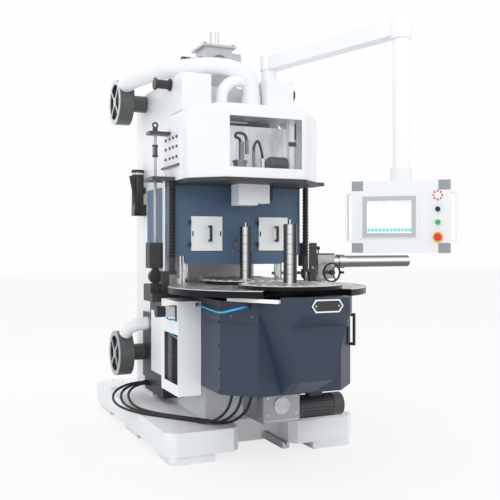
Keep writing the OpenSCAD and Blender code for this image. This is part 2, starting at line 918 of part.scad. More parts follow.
module impeller(z) {
    x0 = blower_x + 2 * blower_wall;
    x1 = blower_x + blower_d - 2 * blower_wall;
    color("dimgray") at_turret() translate([0, 0, z]) {
        bar_x([x1 - blower_wall, x1], blower_y, 0, impeller_r);
        bar_x([x0, x1 + 5 * blower_wall], blower_y, 0, shaft_r);
        bar_x([x0, x1], blower_y, 0, 2 * shaft_r);
        for (i = [0 : blades - 1]) translate([0, blower_y, 0]) rotate([360 * i / blades, 0, 0])
            translate([x0 + blower_wall, -blade_t / 2, 2 * shaft_r - lap])
                cube([x1 - x0 - blower_wall, blade_t, impeller_r - 2 * shaft_r]);
    }
}

module impeller_upper() {
    impeller(blower_top_z);
}

module impeller_lower() {
    impeller(blower_low_z);
}

jack_w = 250;
jack_body = 200;
jack_foot = 25;
jack_flange = 15;

jack_top = column_top + jack_h;

module lift_jack() {
    s = jack_w / 2;
    b = jack_body / 2;
    color("gainsboro") at_turret() difference() {
        union() {
            block([-s, s], [jack_y - s, jack_y + s], [column_top, column_top + jack_foot]);
            block([-b, b], [jack_y - b, jack_y + b], [column_top + jack_foot - lap,
                jack_top - jack_flange + lap]);
            block([-s, s], [jack_y - s, jack_y + s], [jack_top - jack_flange, jack_top]);
        }
        bar_z(0, jack_y, [column_top - over, jack_top + over], screw_r + run);
    }
}

jack_motor_drop = 135;
jack_motor_z = jack_top - jack_motor_drop;
jack_motor_r = 55;
jack_motor_end = -242;
jack_block = 190;

module jack_motor() {
    b = jack_body / 2;
    color("dimgray") at_turret() {
        bar_x([jack_motor_end, -b], jack_y, jack_motor_z, jack_motor_r);
        block([b, jack_block], [jack_y - jack_motor_r, jack_y + jack_motor_r],
            [jack_motor_z - b, jack_motor_z + b]);
    }
}

pump_x = 455;
pump_y = 1267;
pump_r = 44.5;
pump_z = [1582, 1820];
pump_cap_h = 18;
pump_base_h = 82;
pump_base_d = 84;
lever_x = 470;
lever_z = 1530;
lever_len = 265;
lever_w = 26;
lever_t = 12;
lever_tilt = 11;
lever_pin_r = 8;
lever_out = 4;

module lube_pump() {
    y = pump_y - pump_base_d / 2;
    color("black") at_turret() {
        difference() {
            block([-pump_x - pump_r + 8, -column_x], [y, y + pump_base_d], [pump_z[0] - pump_base_h,
                pump_z[0]]);
            bar_y(-lever_x, [y - over, y + 30], lever_z, lever_pin_r + run);
        }
        bar_z(-pump_x, pump_y, [pump_z[0] - lap, pump_z[1]], pump_r);
        bar_z(-pump_x, pump_y, [pump_z[1] - lap, pump_z[1] + pump_cap_h], pump_r + 3);
        block([-column_x - pump_r, -column_x], [pump_y - pump_r / 2, pump_y + pump_r / 2],
            [pump_z[0] + pump_base_h, pump_z[0] + pump_base_h + pump_r]);
    }
}

module lube_lever() {
    y = pump_y - pump_base_d / 2;
    color("black") at_turret() {
        bar_y(-lever_x, [y - lever_t - lever_out, y + 25], lever_z, lever_pin_r);
        translate([-lever_x, y - lever_t - lever_out, lever_z]) rotate([0, -lever_tilt, 0]) {
            translate([-lever_w / 2, 0, -lever_w / 2]) cube([lever_w, lever_t, lever_len + lever_w / 2]);
        }
    }
}

trunnion_y = 650;
trunnion_z = 2352;
trunnion_r = 30;
trunnion_end = 515;
trunnion_flange_r = 40;
trunnion_flange_t = 14;

module lifting_trunnions() {
    color("dimgray") at_turret() both_sides() {
        bar_x([column_x, trunnion_end], trunnion_y, trunnion_z, trunnion_r);
        bar_x([trunnion_end - trunnion_flange_t, trunnion_end], trunnion_y, trunnion_z,
            trunnion_flange_r);
        bar_x([column_x, column_x + trunnion_flange_t], trunnion_y, trunnion_z, trunnion_flange_r);
    }
}

post_flange_r = 60;
post_flange_t = 15;
post_pin_r = 25;

module pendant_post() {
    arm_low = pendant_z - arm_w / 2;
    color("white") at_turret() {
        bar_z(post_x, post_y, [column_top, column_top + post_flange_t], post_flange_r);
        bar_z(post_x, post_y, [column_top, arm_low - gap], pendant_post_r);
        bar_z(post_x, post_y, [column_top, pendant_z], post_pin_r);
    }
}

module pendant_arm() {
    w = arm_w / 2;
    color("white") at_turret() difference() {
        union() {
            translate([post_x, post_y, pendant_z]) rotate([0, 0, arm_angle]) {
                translate([0, -w, -w]) cube([pendant_reach, arm_w, arm_w]);
                translate([0, 0, -w]) cylinder(r = cap_r, h = arm_w + 10);
                translate([pendant_reach, 0, -w - 20]) cylinder(r = cap_r, h = arm_w + 35);
                translate([pendant_reach, 0, panel_top + 4 + gap - pendant_z])
                    cylinder(r = drop_r, h = pendant_z - panel_top - w);
            }
        }
        bar_z(post_x, post_y, [pendant_z - w - over, pendant_z + gap], post_pin_r + run);
    }
}

function arm_tip() = [post_x + pendant_reach * cos(arm_angle),
    post_y + pendant_reach * sin(arm_angle), 0];

module at_panel() {
    at_turret() translate(arm_tip()) rotate([0, 0, panel_turn]) children();
}

handle_h_share = 0.7;
handle_out = 38;
handle_t = 14;
corner = 26;
bezel_w = 335;
bezel_h = 245;
bezel_x = -62;
bezel_t = 5;
button_r = 14;
stop_r = 20;
stop_z_share = 0.22;
start_z_share = 0.42;
selector_z_share = 0.6;
lamp_z_share = 0.79;
lamp_r = 26;
button_bore_share = 0.6;
button_depth = 18;

module panel_box() {
    w = panel_w / 2;
    d = panel_d / 2;
    mid = panel_z + panel_h / 2;
    hh = panel_h * handle_h_share / 2;
    color("lightgray") at_panel() {
        difference() {
            translate([0, 0, panel_z]) linear_extrude(panel_h) polygon([
                [-w, -d], [w, -d], [w, d - corner], [w - corner, d], [-w + corner, d], [-w, d - corner]
            ]);
            for (s = [stop_z_share, start_z_share, selector_z_share])
                bar_y(control_x, [-d - over, -d + button_depth], panel_z + panel_h * s,
                    button_r * button_bore_share + run);
        }
        translate([bezel_x, -d, mid]) rotate([90, 0, 0]) linear_extrude(bezel_t)
            square([bezel_w, bezel_h], center = true);
        both_sides() difference() {
            block([w, w + handle_out], [-d, -d + 3 * handle_t], [mid - hh, mid + hh]);
            block([w - lap, w + handle_out - handle_t], [-d - over, -d + 3 * handle_t + over],
                [mid - hh + handle_t, mid + hh - handle_t]);
        }
        ring_z(0, 0, [panel_top - lap, collar_top], pendant_collar_r, drop_r + run);
        bar_z(0, 0, [panel_top - lap, panel_top + 4], drop_r + lap);
        bar_y(control_x, [-d - bezel_t, -d], panel_z + panel_h * lamp_z_share, lamp_r);
    }
}

// Round control on the panel's front
module control(share, r, out) {
    z = panel_z + panel_h * share;
    d = panel_d / 2;
    bar_y(control_x, [-d - out, -d - button_depth / 2], z, r);
    bar_y(control_x, [-d - button_depth / 2 - lap, -d + button_depth / 2], z,
        button_r * button_bore_share);
}

module e_stop() {
    color("red") at_panel() control(stop_z_share, stop_r, 34);
}

module start_button() {
    color("green") at_panel() control(start_z_share, button_r, 18);
}

module selector_knob() {
    z = panel_z + panel_h * selector_z_share;
    d = panel_d / 2;
    color("black") at_panel() {
        control(selector_z_share, button_r, 14);
        block([control_x - button_r / 4, control_x + button_r / 4], [-d - 28, -d - 12],
            [z - button_r, z + button_r]);
    }
}

module slide_rails() {
    color("silver") at_turret() both_sides()
        block([rail_x - rail_w / 2, rail_x + rail_w / 2], [column_front - rail_h, column_front], rail_z);
}

module spindle_block() {
    color("gray") at_turret() difference() {
        block([-block_x, block_x], [wheel_y - block_x, wheel_y + block_x], [block_floor, block_top]);
        bar_z(0, wheel_y, [quill_bore_z, block_top + over], quill_r + run);
    }
}

module lower_quill() {
    hub = lower_wheel_z - wheel_t - plate_t - hub_h;
    color("silver") at_turret() difference() {
        bar_z(0, wheel_y, [quill_z, hub - gap], quill_r);
        bar_z(0, wheel_y, [quill_z + 20, hub + over], spindle_r + run);
    }
}

// Wheel with abrasive face, back plate, hub and shaft; the face lies on z = 0
module wheel(shaft) {
    difference() {
        union() {
            bar_z(0, 0, [-wheel_t, 0], wheel_r);
            bar_z(0, 0, [-wheel_t - plate_t, -wheel_t + lap], wheel_r - 10);
        }
        bar_z(0, 0, [-wheel_t, over], wheel_hub_r);
    }
    bar_z(0, 0, [-wheel_t - plate_t - hub_h, -wheel_t], wheel_hub_r);
    bar_z(0, 0, [-wheel_t - plate_t - hub_h - shaft, -wheel_t], spindle_r);
}

module lower_wheel() {
    shaft = lower_wheel_z - wheel_t - plate_t - hub_h - quill_z - 30;
    color("gray") at_turret() translate([0, wheel_y, lower_wheel_z]) wheel(shaft);
}

upper_shaft = 440;

module upper_wheel() {
    color("gray") at_turret() translate([0, wheel_y, upper_wheel_z]) mirror([0, 0, 1]) wheel(upper_shaft);
}

module upper_spindle() {
    low = upper_wheel_z + wheel_t + plate_t + hub_h + gap;
    color("silver") at_turret() difference() {
        union() {
            bar_z(0, wheel_y, [low, cartridge_top], cartridge_r);
            bar_z(0, wheel_y, [head_z - 24, head_z], cartridge_flange_r);
        }
        bar_z(0, wheel_y, [low - over, low + upper_shaft + 20], spindle_r + run);
    }
}

module turret() {
    color("silver") at_turret() {
        difference() {
            bar_z(0, 0, [turret_z, turret_top], turret_r);
            for (s = [-1, 1]) {
                bar_z(0, s * cut_y, [turret_z - over, turret_top + over], cut_r);
                bar_z(0, s * disc_y, [turret_z - over, turret_top + over], disc_shaft_r + run);
            }
        }
        bar_z(0, 0, [turret_z - hub_r / 10, turret_z + lap], hub_r);
        bar_z(0, 0, [index_floor, turret_z + lap], turret_shaft_r);
    }
}

// Loading disc with its ring of holes, its shaft and the stacked post
module disc(y) {
    ring = post_h / post_rings;
    color("gainsboro") at_turret() translate([0, y, 0]) {
        difference() {
            bar_z(0, 0, [disc_z, disc_top], disc_r);
            for (i = [0 : load_holes - 1]) rotate([0, 0, 360 * i / load_holes])
                bar_z(load_ring_r, 0, [disc_z - over, disc_top + over], load_hole_d / 2);
        }
        bar_z(0, 0, [disc_shaft_z, disc_z + lap], disc_shaft_r);
        translate([0, 0, disc_top]) rotate_extrude() polygon(concat([[0, -lap], [post_r, -lap]],
            [for (i = [0 : post_rings - 1]) each [
                [post_r, i * ring], [post_r, (i + 0.88) * ring],
                [post_r - post_groove, (i + 0.88) * ring], [post_r - post_groove, (i + 1) * ring]]],
            [[post_knob_r, post_h], [post_knob_r, post_h + post_knob_h], [0, post_h + post_knob_h]]));
    }
}

module disc_a() {
    disc(disc_y);
}

module disc_b() {
    disc(-disc_y);
}

// Octagonal front of the head, drawn in by a wall
function head_pts(w, back) = [
    [-head_x + w, back], [-head_x + w, head_side_y + w * bevel], [-head_facet_x + w * bevel,
        head_front + w],
    [head_facet_x - w * bevel, head_front + w], [head_x - w, head_side_y + w * bevel], [head_x - w, back]
];

module top_chamfer(d, turn, top) {
    rotate([0, 0, turn]) translate([d - shell_chamfer, 0, top]) rotate([0, -45, 0])
        translate([0, -head_x * 2, -head_x]) cube([head_x, head_x * 4, head_x * 2]);
}

// Solid form of the head, drawn in by a wall
module head_form(w, low, back) {
    facet = (head_facet_x - head_front + head_x - head_side_y) / 2 / cos(45);
    difference() {
        translate([0, 0, low]) linear_extrude(head_top - w - low) polygon(head_pts(w, back));
        top_chamfer(-head_front - w, -90, head_top - w);
        for (t = [-45, -135]) top_chamfer((head_facet_x - head_front) * cos(45) - w, t, head_top - w);
        for (t = [0, 180]) top_chamfer(head_x - w, t, head_top - w);
    }
}

module head_shell() {
    color("white") at_turret() {
        difference() {
            head_form(0, plate_top, head_back);
            head_form(head_wall, plate_top - over, head_back + over);
            block([-window_x, window_x], [head_front - over, head_front + head_wall + over], window_z);
            bar_z(collar_x, collar_y, [head_top - head_wall - over, head_top + over], collar_bore);
        }
        ring_z(collar_x, collar_y, [head_top - lap, head_top + collar_h], collar_r, collar_bore);
        ring_z(arch_at.x, arch_at.y, [head_top - lap, head_top + arch_collar_h], arch_r + 10,
            arch_r + lap);
    }
}

module head_window() {
    back = head_front + head_wall;
    color("lightcyan") at_turret() block([-window_x - pane_lap, window_x + pane_lap], [back,
        back + pane_t],
        [window_z[0] - pane_lap, window_z[1] + pane_lap]);
}

module head_base_plate() {
    color("dimgray") at_turret() difference() {
        union() {
            translate([0, 0, head_z]) linear_extrude(head_plate_t) polygon(head_pts(-rim, head_back));
            block([-tongue_x, tongue_x], [head_back - lap, tongue_end], [head_z, plate_top]);
        }
        bar_z(0, wheel_y, [head_z - over, plate_top + over], cartridge_r + gap);
        both_sides() bar_z(pillar_x, pillar_y, [head_z - over, plate_top + over], pillar_r + run);
    }
}

module head_slide() {
    w = slide_wall;
    color("lightgray") at_turret() {
        difference() {
            union() {
                difference() {
                    block([-slide_x, slide_x], slide_y, [plate_top, slide_top]);
                    block([-slide_x + w, slide_x - w], [slide_y[0] + w, slide_y[1] - w],
                        [plate_top + w, slide_top + over]);
                }
                bar_z(0, wheel_y, [plate_top, slide_top], cartridge_r + w);
                block([-slide_x + lap, slide_x - lap], [jack_y - w, slide_y[1] - lap],
                    [slide_top - w / 2, slide_top]);
            }
            bar_z(0, wheel_y, [plate_top - over, slide_top + over], cartridge_r + gap);
        }
        both_sides() for (z = carriage_z) difference() {
            block([rail_x - carriage_w / 2, rail_x + carriage_w / 2], [slide_y[1] - lap,
                column_front - 8], z);
            block([rail_x - rail_w / 2 - gap, rail_x + rail_w / 2 + gap],
                [column_front - rail_h - gap, column_front], [z[0] - over, z[1] + over]);
        }
    }
}

module chamber_shroud() {
    t = shroud_t;
    top = head_z;
    color("slategray") at_turret() {
        difference() {
            union() {
                block([-shroud_x, shroud_x], [shroud_y, shroud_y + t], [shroud_z, top]);
                both_sides() block([shroud_x - t, shroud_x], [shroud_y, shroud_back],
                    [shroud_z + shroud_notch_h, top]);
                block([-lip_x, lip_x], [shroud_y - lip_t, shroud_y + lap], [shroud_z - lip_t,
                    shroud_z + lip_t]);
                bar_y(0, [shroud_y - port_rim, shroud_y + lap], port_z, port_r + port_rim);
            }
            for (x = [door_left_x, door_right_x])
                block([x + door_land, x + door_w - door_land], [shroud_y - over, shroud_y + t + over],
                    [door_z + door_land, door_z + door_w - door_land]);
            bar_y(0, [shroud_y - port_rim - over, shroud_y + t + over], port_z, port_r);
            both_sides() block([shroud_notch_x, shroud_x + over], [shroud_y - over, shroud_y + t + over],
                [shroud_z - over, shroud_z + shroud_notch_h]);
        }
        for (x = [door_left_x, door_right_x]) hinge_lugs(x);
    }
}

pin_y = shroud_y - 12;
knuckles = [door_z + knuckle_in, door_z + door_w - knuckle_in - knuckle_h];

// Lugs on the shroud, above and below each knuckle, with the pin that runs through it
module hinge_lugs(x) {
    for (z = knuckles) {
        for (q = [z - lug_gap - lug_t, z + knuckle_h + lug_gap]) {
            bar_z(x, pin_y, [q, q + lug_t], knuckle_r);
            block([x - knuckle_r, x + knuckle_r], [pin_y, shroud_y + lap], [q, q + lug_t]);
        }
        bar_z(x, pin_y, [z - lug_gap - lug_t, z + knuckle_h + lug_gap + lug_t], hinge_r);
    }
}

module door(x) {
    back = shroud_y - lug_gap;
    bar_at = x + door_w * pull_x_share;
    mid = door_z + door_w / 2;
    front = back - door_t;
    color("white") at_turret() {
        difference() {
            union() {
                block([x + knuckle_r + 1, x + door_w], [front, back], [door_z, door_z + door_w]);
                for (z = knuckles) {
                    bar_z(x, pin_y, [z, z + knuckle_h], knuckle_r);
                    block([x, x + 2 * knuckle_r], [front, front + door_t / 2], [z, z + knuckle_h]);
                }
            }
            for (z = knuckles) bar_z(x, pin_y, [z - over, z + knuckle_h + over], hinge_r + run);
        }
        block([bar_at, bar_at + pull_bar], [front - pull_out, front - pull_out + pull_bar],
            [mid - pull_h / 2, mid + pull_h / 2]);
        for (z = [mid - pull_h / 2, mid + pull_h / 2 - pull_bar])
            block([bar_at, bar_at + pull_bar], [front - pull_out, front + lap], [z, z + pull_bar]);
    }
}

module door_left() {
    door(door_left_x);
}

module door_right() {
    door(door_right_x);
}

gearmotor_x = [-108, 22];
gearmotor_y = [175, 300];
gearmotor_z = 1536;
gear_end_x = 112;
gear_cap_x = 140;
gear_inset = 14;

module head_gearmotor() {
    color("white") at_turret() {
        block(gearmotor_x, gearmotor_y, [gearmotor_z, head_z]);
        block([gearmotor_x[1] - lap, gear_end_x], [gearmotor_y[0] + gear_inset,
            gearmotor_y[1] - gear_inset],
            [gearmotor_z + gear_inset, head_z]);
        block([gear_end_x - lap, gear_cap_x], [gearmotor_y[0] + 2 * gear_inset,
            gearmotor_y[1] - 2 * gear_inset],
            [gearmotor_z + 2 * gear_inset, head_z - gear_inset]);
    }
}

side_bracket_t = 14;
side_bracket_y = [285, 630];
side_bracket_top = 2031;
upper_shelf_z = 1990;
upper_shelf_t = 20;
ledge_z = 1780;
bolt_r = 9;
bolt_h = 8;
bolt_rows = [1840, 1905, 1965];
bolt_cols_share = [0.15, 0.35, 0.55, 0.8];
link_z = [1849, 1926];
link_r = 16;
rod_low = 1262;

module head_bracket() {
    x0 = head_x;
    x1 = head_x + side_bracket_t;
    span = side_bracket_y[1] - side_bracket_y[0];
    color("gainsboro") {
        difference() {
            union() {
                block([x0, x1], side_bracket_y, [plate_top, side_bracket_top]);
                block([x0 + rim + gap, shelf_end], [bellows_y - bellows_r, balance_y + 60], [shelf_z,
                    shelf_z + shelf_t]);
                block([x1 - lap, shelf_end - 10], [balance_y - 40, balance_y + 40], [upper_shelf_z,
                    upper_shelf_z + upper_shelf_t]);
                block([x1 - lap, x1 + 14], side_bracket_y, [ledge_z, ledge_z + 12]);
            }
            bar_z(rod_x0, rod_y0, [shelf_z - over, shelf_z + shelf_t + over], guide_rod_r + run);
        }
        for (z = bolt_rows, s = bolt_cols_share)
            screw_head([x1, side_bracket_y[0] + span * s, z], 90, bolt_r, bolt_h);
        bar_z(balance_x, balance_y, [rod_low, upper_shelf_z + lap], balance_rod_r);
        bar_z(balance_x, balance_y, link_z, link_r);
    }
}

module head_brackets() {
    at_turret() both_sides() head_bracket();
}

screw_foot_r = 60;
screw_foot_h = 25;

module lift_screw() {
    color("silver") at_turret() {
        bar_z(0, jack_y, [slide_top, screw_top], screw_r);
        bar_z(0, jack_y, [slide_top, slide_top + screw_foot_h], screw_foot_r);
    }
}

module dresser_body() {
    stand = [clamp_x[0] - 5, clamp_x[1] - 40];
    color("gray") at_turret() {
        block([housing_x, stand[1]], [dresser_y - 20, dresser_y + 40], bracket_z);
        block(stand, [dresser_y - 20, dresser_y + 40], [bracket_z[1] - lap, clamp_z[0] + lap]);
        difference() {
            union() {
                block(clamp_x, clamp_y, clamp_z);
                bar_x([clamp_x[0], dresser_end], dresser_y, dresser_z, dresser_r);
                bar_x([clamp_x[1] + 60, clamp_x[1] + 110], dresser_y, dresser_z, dresser_r + 8);
            }
            bar_x([clamp_x[0] - over, dresser_end - 60], dresser_y, dresser_z, ram_r + run);
            bar_y(feed_x, [clamp_y[0] - over, clamp_y[0] + 40], feed_z, pinion_r + run);
        }
        bar_z(clamp_x[0] + 40, dresser_y, [clamp_z[1] - lap, clamp_z[1] + 30], pinion_r / 2);
        translate([clamp_x[0] + 40, dresser_y, clamp_z[1] + 38]) sphere(r = pinion_r + 4);
    }
}

module dresser_ram() {
    w = blade_w / 2;
    color("silver") at_turret() {
        bar_x([yoke_x[0], dresser_end - 220], dresser_y, dresser_z, ram_r);
        block(yoke_x, [dresser_y - w, dresser_y + w], [blade_z[0], dresser_z + ram_r]);
        block([blade_tip, yoke_x[1]], [dresser_y - w, dresser_y + w], blade_z);
    }
}

wheel_spokes = 3;
rim_r = 7;
hand_y = 478;
hand_hub_r = 18;
hand_knob_r = 9;

module dresser_handwheel() {
    color("black") at_turret() {
        translate([feed_x, hand_y, feed_z]) rotate([90, 0, 0]) rotate_extrude()
            translate([handwheel_r, 0]) circle(r = rim_r);
        bar_y(feed_x, [hand_y - hand_hub_r, hand_y + hand_hub_r], feed_z, hand_hub_r);
        bar_y(feed_x, [hand_y, clamp_y[0] + 38], feed_z, pinion_r);
        for (i = [0 : wheel_spokes - 1]) translate([feed_x, hand_y, feed_z])
            rotate([0, 360 * i / wheel_spokes + 30, 0]) cylinder(r = rim_r - lap, h = handwheel_r);
        bar_y(feed_x + handwheel_r, [hand_y - 48, hand_y], feed_z, hand_knob_r);
    }
}

rack_x = 300;
rack_z = [400, 1960];
rack_t = 5;
rack_rows = 5;
rack_box_h = 150;
rack_box_d = 110;
rack_lead = 60;
rack_edge = 40;
rack_step = 20;

// Mounting plate with rows of switchgear inside the column's cabinet
module control_rack() {
    pitch = (rack_z[1] - rack_z[0]) / rack_rows;
    color("silver") at_turret() {
        block([-rack_x, rack_x], [cavity_front, cavity_front + rack_t], rack_z);
        for (i = [0 : rack_rows - 1]) {
            z = rack_z[0] + i * pitch + rack_lead;
            block([-rack_x + rack_edge + rack_step * (i % 2), rack_x - rack_edge - rack_lead * (i % 3)],
                [cavity_front + rack_t, cavity_front + rack_box_d], [z, z + rack_box_h]);
        }
    }
}

rear_lap = 15;
rear_door_t = 12;
rear_hinge_z = [500, 1900];
rear_knuckle_h = 60;
rear_hinge_r = 6;
rear_knuckle_r = 11;
rear_pin_y = column_back + 14;

module rear_door() {
    x0 = -cavity_x - rear_lap;
    back = column_back + lug_gap;
    color("white") at_turret() {
        difference() {
            union() {
                block([x0 + rear_knuckle_r + 2, cavity_x + rear_lap], [back, back + rear_door_t],
                    [cavity_z[0] - rear_lap, cavity_z[1] + rear_lap]);
                for (z = rear_hinge_z) {
                    bar_z(x0, rear_pin_y, [z, z + rear_knuckle_h], rear_knuckle_r);
                    block([x0, x0 + 2 * rear_knuckle_r], [back + 5, back + rear_door_t], [z,
                        z + rear_knuckle_h]);
                }
            }
            for (z = rear_hinge_z)
                bar_z(x0, rear_pin_y, [z - over, z + rear_knuckle_h + over], rear_hinge_r + run);
        }
        block([cavity_x - 60, cavity_x - 30], [back + rear_door_t, back + rear_door_t + 30], [1100,
            1280]);
    }
}

// Lugs and pins of the rear door, on the back of the column
module rear_lugs() {
    x0 = -cavity_x - rear_lap;
    for (z = rear_hinge_z) {
        for (q = [z - lug_gap - lug_t, z + rear_knuckle_h + lug_gap]) {
            bar_z(x0, rear_pin_y, [q, q + lug_t], rear_knuckle_r);
            block([x0 - rear_knuckle_r, x0 + rear_knuckle_r], [column_back - lap, rear_pin_y], [q,
                q + lug_t]);
        }
        bar_z(x0, rear_pin_y, [z - lug_gap - lug_t, z + rear_knuckle_h + lug_gap + lug_t], rear_hinge_r);
    }
}

module cable_a() {
    color("black") at_turret() sweep(ROUTE_A, CABLE_R);
}

module cable_b() {
    color("black") at_turret() sweep(ROUTE_B, CABLE_R);
}

module cable_c() {
    color("black") at_turret() sweep(ROUTE_C, CABLE_R);
}

module air_tube() {
    color("deepskyblue") at_turret() sweep(AIR_ROUTE, TUBE_R);
}

base_casting();
column_frame();
lower_housing();
front_cowl();
housing_hardware();
side_cabinet();
access_plates();
air_regulator();
cable_box();
guide_brackets();
guide_columns();
bellows_left();
bellows_right();
balance_cylinders();
wheel_guard();
index_drive();
base_rail();
fume_ducts();
blower_housings();
lift_jack();
jack_motor();
lube_pump();
lifting_trunnions();
pendant_post();
slide_rails();
spindle_block();
dresser_body();
control_rack();
cable_a();
cable_b();
cable_c();
air_tube();
head_slide();
head_shell();
head_window();
head_base_plate();
chamber_shroud();
head_gearmotor();
head_brackets();
lift_screw();
upper_spindle();
upper_wheel();
lower_quill();
lower_wheel();
turret();
disc_a();
disc_b();
door_left();
door_right();
pendant_arm();
panel_box();
e_stop();
start_button();
selector_knob();
lube_lever();
impeller_upper();
impeller_lower();
dresser_ram();
dresser_handwheel();
rear_door();
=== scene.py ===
"""Looks of a spring end grinding machine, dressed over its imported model, in metres.

Heights and widths are those of the machine; depths are measured from the turret's axis and
carried to the machine's own frame by spot().
"""

import math

import bpy
from bpy.props import FloatProperty, FloatVectorProperty, IntProperty, PointerProperty
from mathutils import Matrix, Vector


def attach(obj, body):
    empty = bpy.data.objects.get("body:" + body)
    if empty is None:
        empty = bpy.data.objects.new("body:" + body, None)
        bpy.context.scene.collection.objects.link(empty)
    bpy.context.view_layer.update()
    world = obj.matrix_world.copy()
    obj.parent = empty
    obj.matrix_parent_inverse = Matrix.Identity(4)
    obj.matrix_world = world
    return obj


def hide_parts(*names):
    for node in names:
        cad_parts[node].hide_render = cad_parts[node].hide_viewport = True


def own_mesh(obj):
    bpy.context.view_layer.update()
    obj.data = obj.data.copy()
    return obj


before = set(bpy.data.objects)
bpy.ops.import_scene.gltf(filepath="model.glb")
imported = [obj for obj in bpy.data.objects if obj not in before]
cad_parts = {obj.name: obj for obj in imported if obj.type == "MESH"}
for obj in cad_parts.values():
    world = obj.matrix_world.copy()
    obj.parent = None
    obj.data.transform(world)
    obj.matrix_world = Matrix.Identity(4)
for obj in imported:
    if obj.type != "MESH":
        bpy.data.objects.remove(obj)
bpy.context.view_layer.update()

bl_info = {
    "name": "Spring End Grinding Machine",
    "version": (1, 0, 0),
    "blender": (4, 5, 0),
    "location": "View3D > Sidebar > Grinder",
    "description": "Paints and details a spring end grinding machine around its rigid frame",
    "category": "Object",
}

TURRET_Y = -0.94
FINISH_TAG = "_finish"


def spot(x, y, z):
    """A place given in millimetres, its depth counted from the turret's axis, in the machine's frame."""
    return Vector((x / 1000, TURRET_Y + y / 1000, z / 1000))


# ---------------------------------------------------------------- finishes

# Scales of the noises: clouds in a paint's colour and grain in its skin, lathe rings and oily patches on steel
CLOUD_SCALE = 2.6
GRAIN_SCALE = 220.0
FINE_GRAIN = 320.0
LATHE_SCALE = 240.0
PATCH_SCALE = 16.0


class Field:
    """A number that changes over a surface. Its operators add Math nodes."""

    def __init__(self, recipe, socket):
        self.recipe, self.socket = recipe, socket

    def math(self, operation, other=0.0, flipped=False):
        """One Math node on this number and another; flipped puts the other first."""
        pair = (other, self) if flipped else (self, other)
        return self.recipe.node("ShaderNodeMath", {"operation": operation}, {0: pair[0], 1: pair[1]})

    def __add__(self, other):
        return self.math("ADD", other)

    def __sub__(self, other):
        return self.math("SUBTRACT", other)

    def __rsub__(self, other):
        return self.math("SUBTRACT", other, True)

    def __mul__(self, other):
        return self.math("MULTIPLY", other)

    def __gt__(self, other):
        return self.math("GREATER_THAN", other)

    def __lt__(self, other):
        return self.math("LESS_THAN", other)

    __radd__ = __add__
    __rmul__ = __mul__

    def size(self):
        """The number without its sign."""
        return self.math("ABSOLUTE")


class Nodes:
    """The nodes of one material or world, each added and fed in the same way."""

    def __init__(self, owner):
        owner.use_nodes = True
        self.tree = owner.node_tree
        self.tree.nodes.clear()

    def node(self, kind, settings, inputs, output=0):
        """Adds a node, makes its settings, feeds its inputs and gives its output."""
        made = self.tree.nodes.new(kind)
        for key, value in settings.items():
            if key == "stops":
                ramp = made.color_ramp
                for (place, shade), stop in zip(value, list(ramp.elements)):
                    stop.position, stop.color = place, (*shade, 1)
            else:
                setattr(made, key, value)
        for key, value in inputs.items():
            self.feed(made.inputs[key], value)
        return Field(self, made.outputs[output]) if made.outputs else None

    def feed(self, socket, value):
        """Links a field to a socket, or sets the socket's own value."""
        if isinstance(value, Field):
            self.tree.links.new(value.socket, socket)
        elif isinstance(value, (tuple, list, Vector)) and socket.type == "RGBA":
            socket.default_value = (*value, 1)
        else:
            socket.default_value = value

    def rays(self, *kinds):
        """1 on the given kinds of rays, 0 on the others."""
        fields = [self.node("ShaderNodeLightPath", {}, {}, kind) for kind in kinds]
        return sum(fields[1:], fields[0]).math("MINIMUM", 1.0)


class Recipe(Nodes):
    """One material: its shader and the nodes that vary it over the surface."""

    def __init__(self, name):
        super().__init__(bpy.data.materials.new(name + FINISH_TAG))
        self.shader = self.node("ShaderNodeBsdfPrincipled", {}, {})
        self.node("ShaderNodeOutputMaterial", {}, {0: self.shader})
        self.coords = self.node("ShaderNodeTexCoord", {}, {}, "Object")

    def set(self, **sockets):
        """Feeds the shader; an underscore stands for the blank in a socket's name."""
        for key, value in sockets.items():
            self.feed(self.shader.socket.node.inputs[key.replace("_", " ")], value)

    def axes(self):
        """Where on the machine, along X, Y and Z in metres."""
        split = self.node("ShaderNodeSeparateXYZ", {}, {0: self.coords})
        return [Field(self, split.socket.node.outputs[i]) for i in range(3)]

    def noise(self, scale, detail=3.0, stretch=None):
        where = self.coords
        if stretch:
            where = self.node("ShaderNodeVectorMath", {"operation": "MULTIPLY"}, {0: self.coords, 1: stretch})
        return self.node("ShaderNodeTexNoise", {}, {"Vector": where, "Scale": scale, "Detail": detail})

    def cloud(self, stretch=None):
        """Wide soft patches, for colour and roughness."""
        return self.noise(CLOUD_SCALE, 4.0, stretch)

    def grain(self, scale=GRAIN_SCALE):
        """Fine skin, for the bump."""
        return self.noise(scale, 2.0)

    def shades(self, value, low, high, start=0.3, end=0.7):
        """Colours from low to high as the value goes from start to end."""
        return self.node("ShaderNodeValToRGB", {"stops": [(start, low), (end, high)]}, {0: value})

    def mix(self, mask, first, second):
        """first where the mask is 0, second where it is 1; colours, or colour fields."""
        return self.node("ShaderNodeMix", {"data_type": "RGBA"}, {0: mask, 6: first, 7: second}, output=2)

    def bump(self, height, strength, distance=0.0006):
        return self.node("ShaderNodeBump", {}, {"Height": height, "Strength": strength, "Distance": distance})


def scaled(color, by):
    """A colour made lighter or darker, kept at 1 or below."""
    return tuple(min(1.0, c * by) for c in color)


class Tone:
    """Colour, roughness and metal share of one finish."""

    def __init__(self, color, rough, metal=0.0):
        self.color, self.rough, self.metal = color, rough, metal


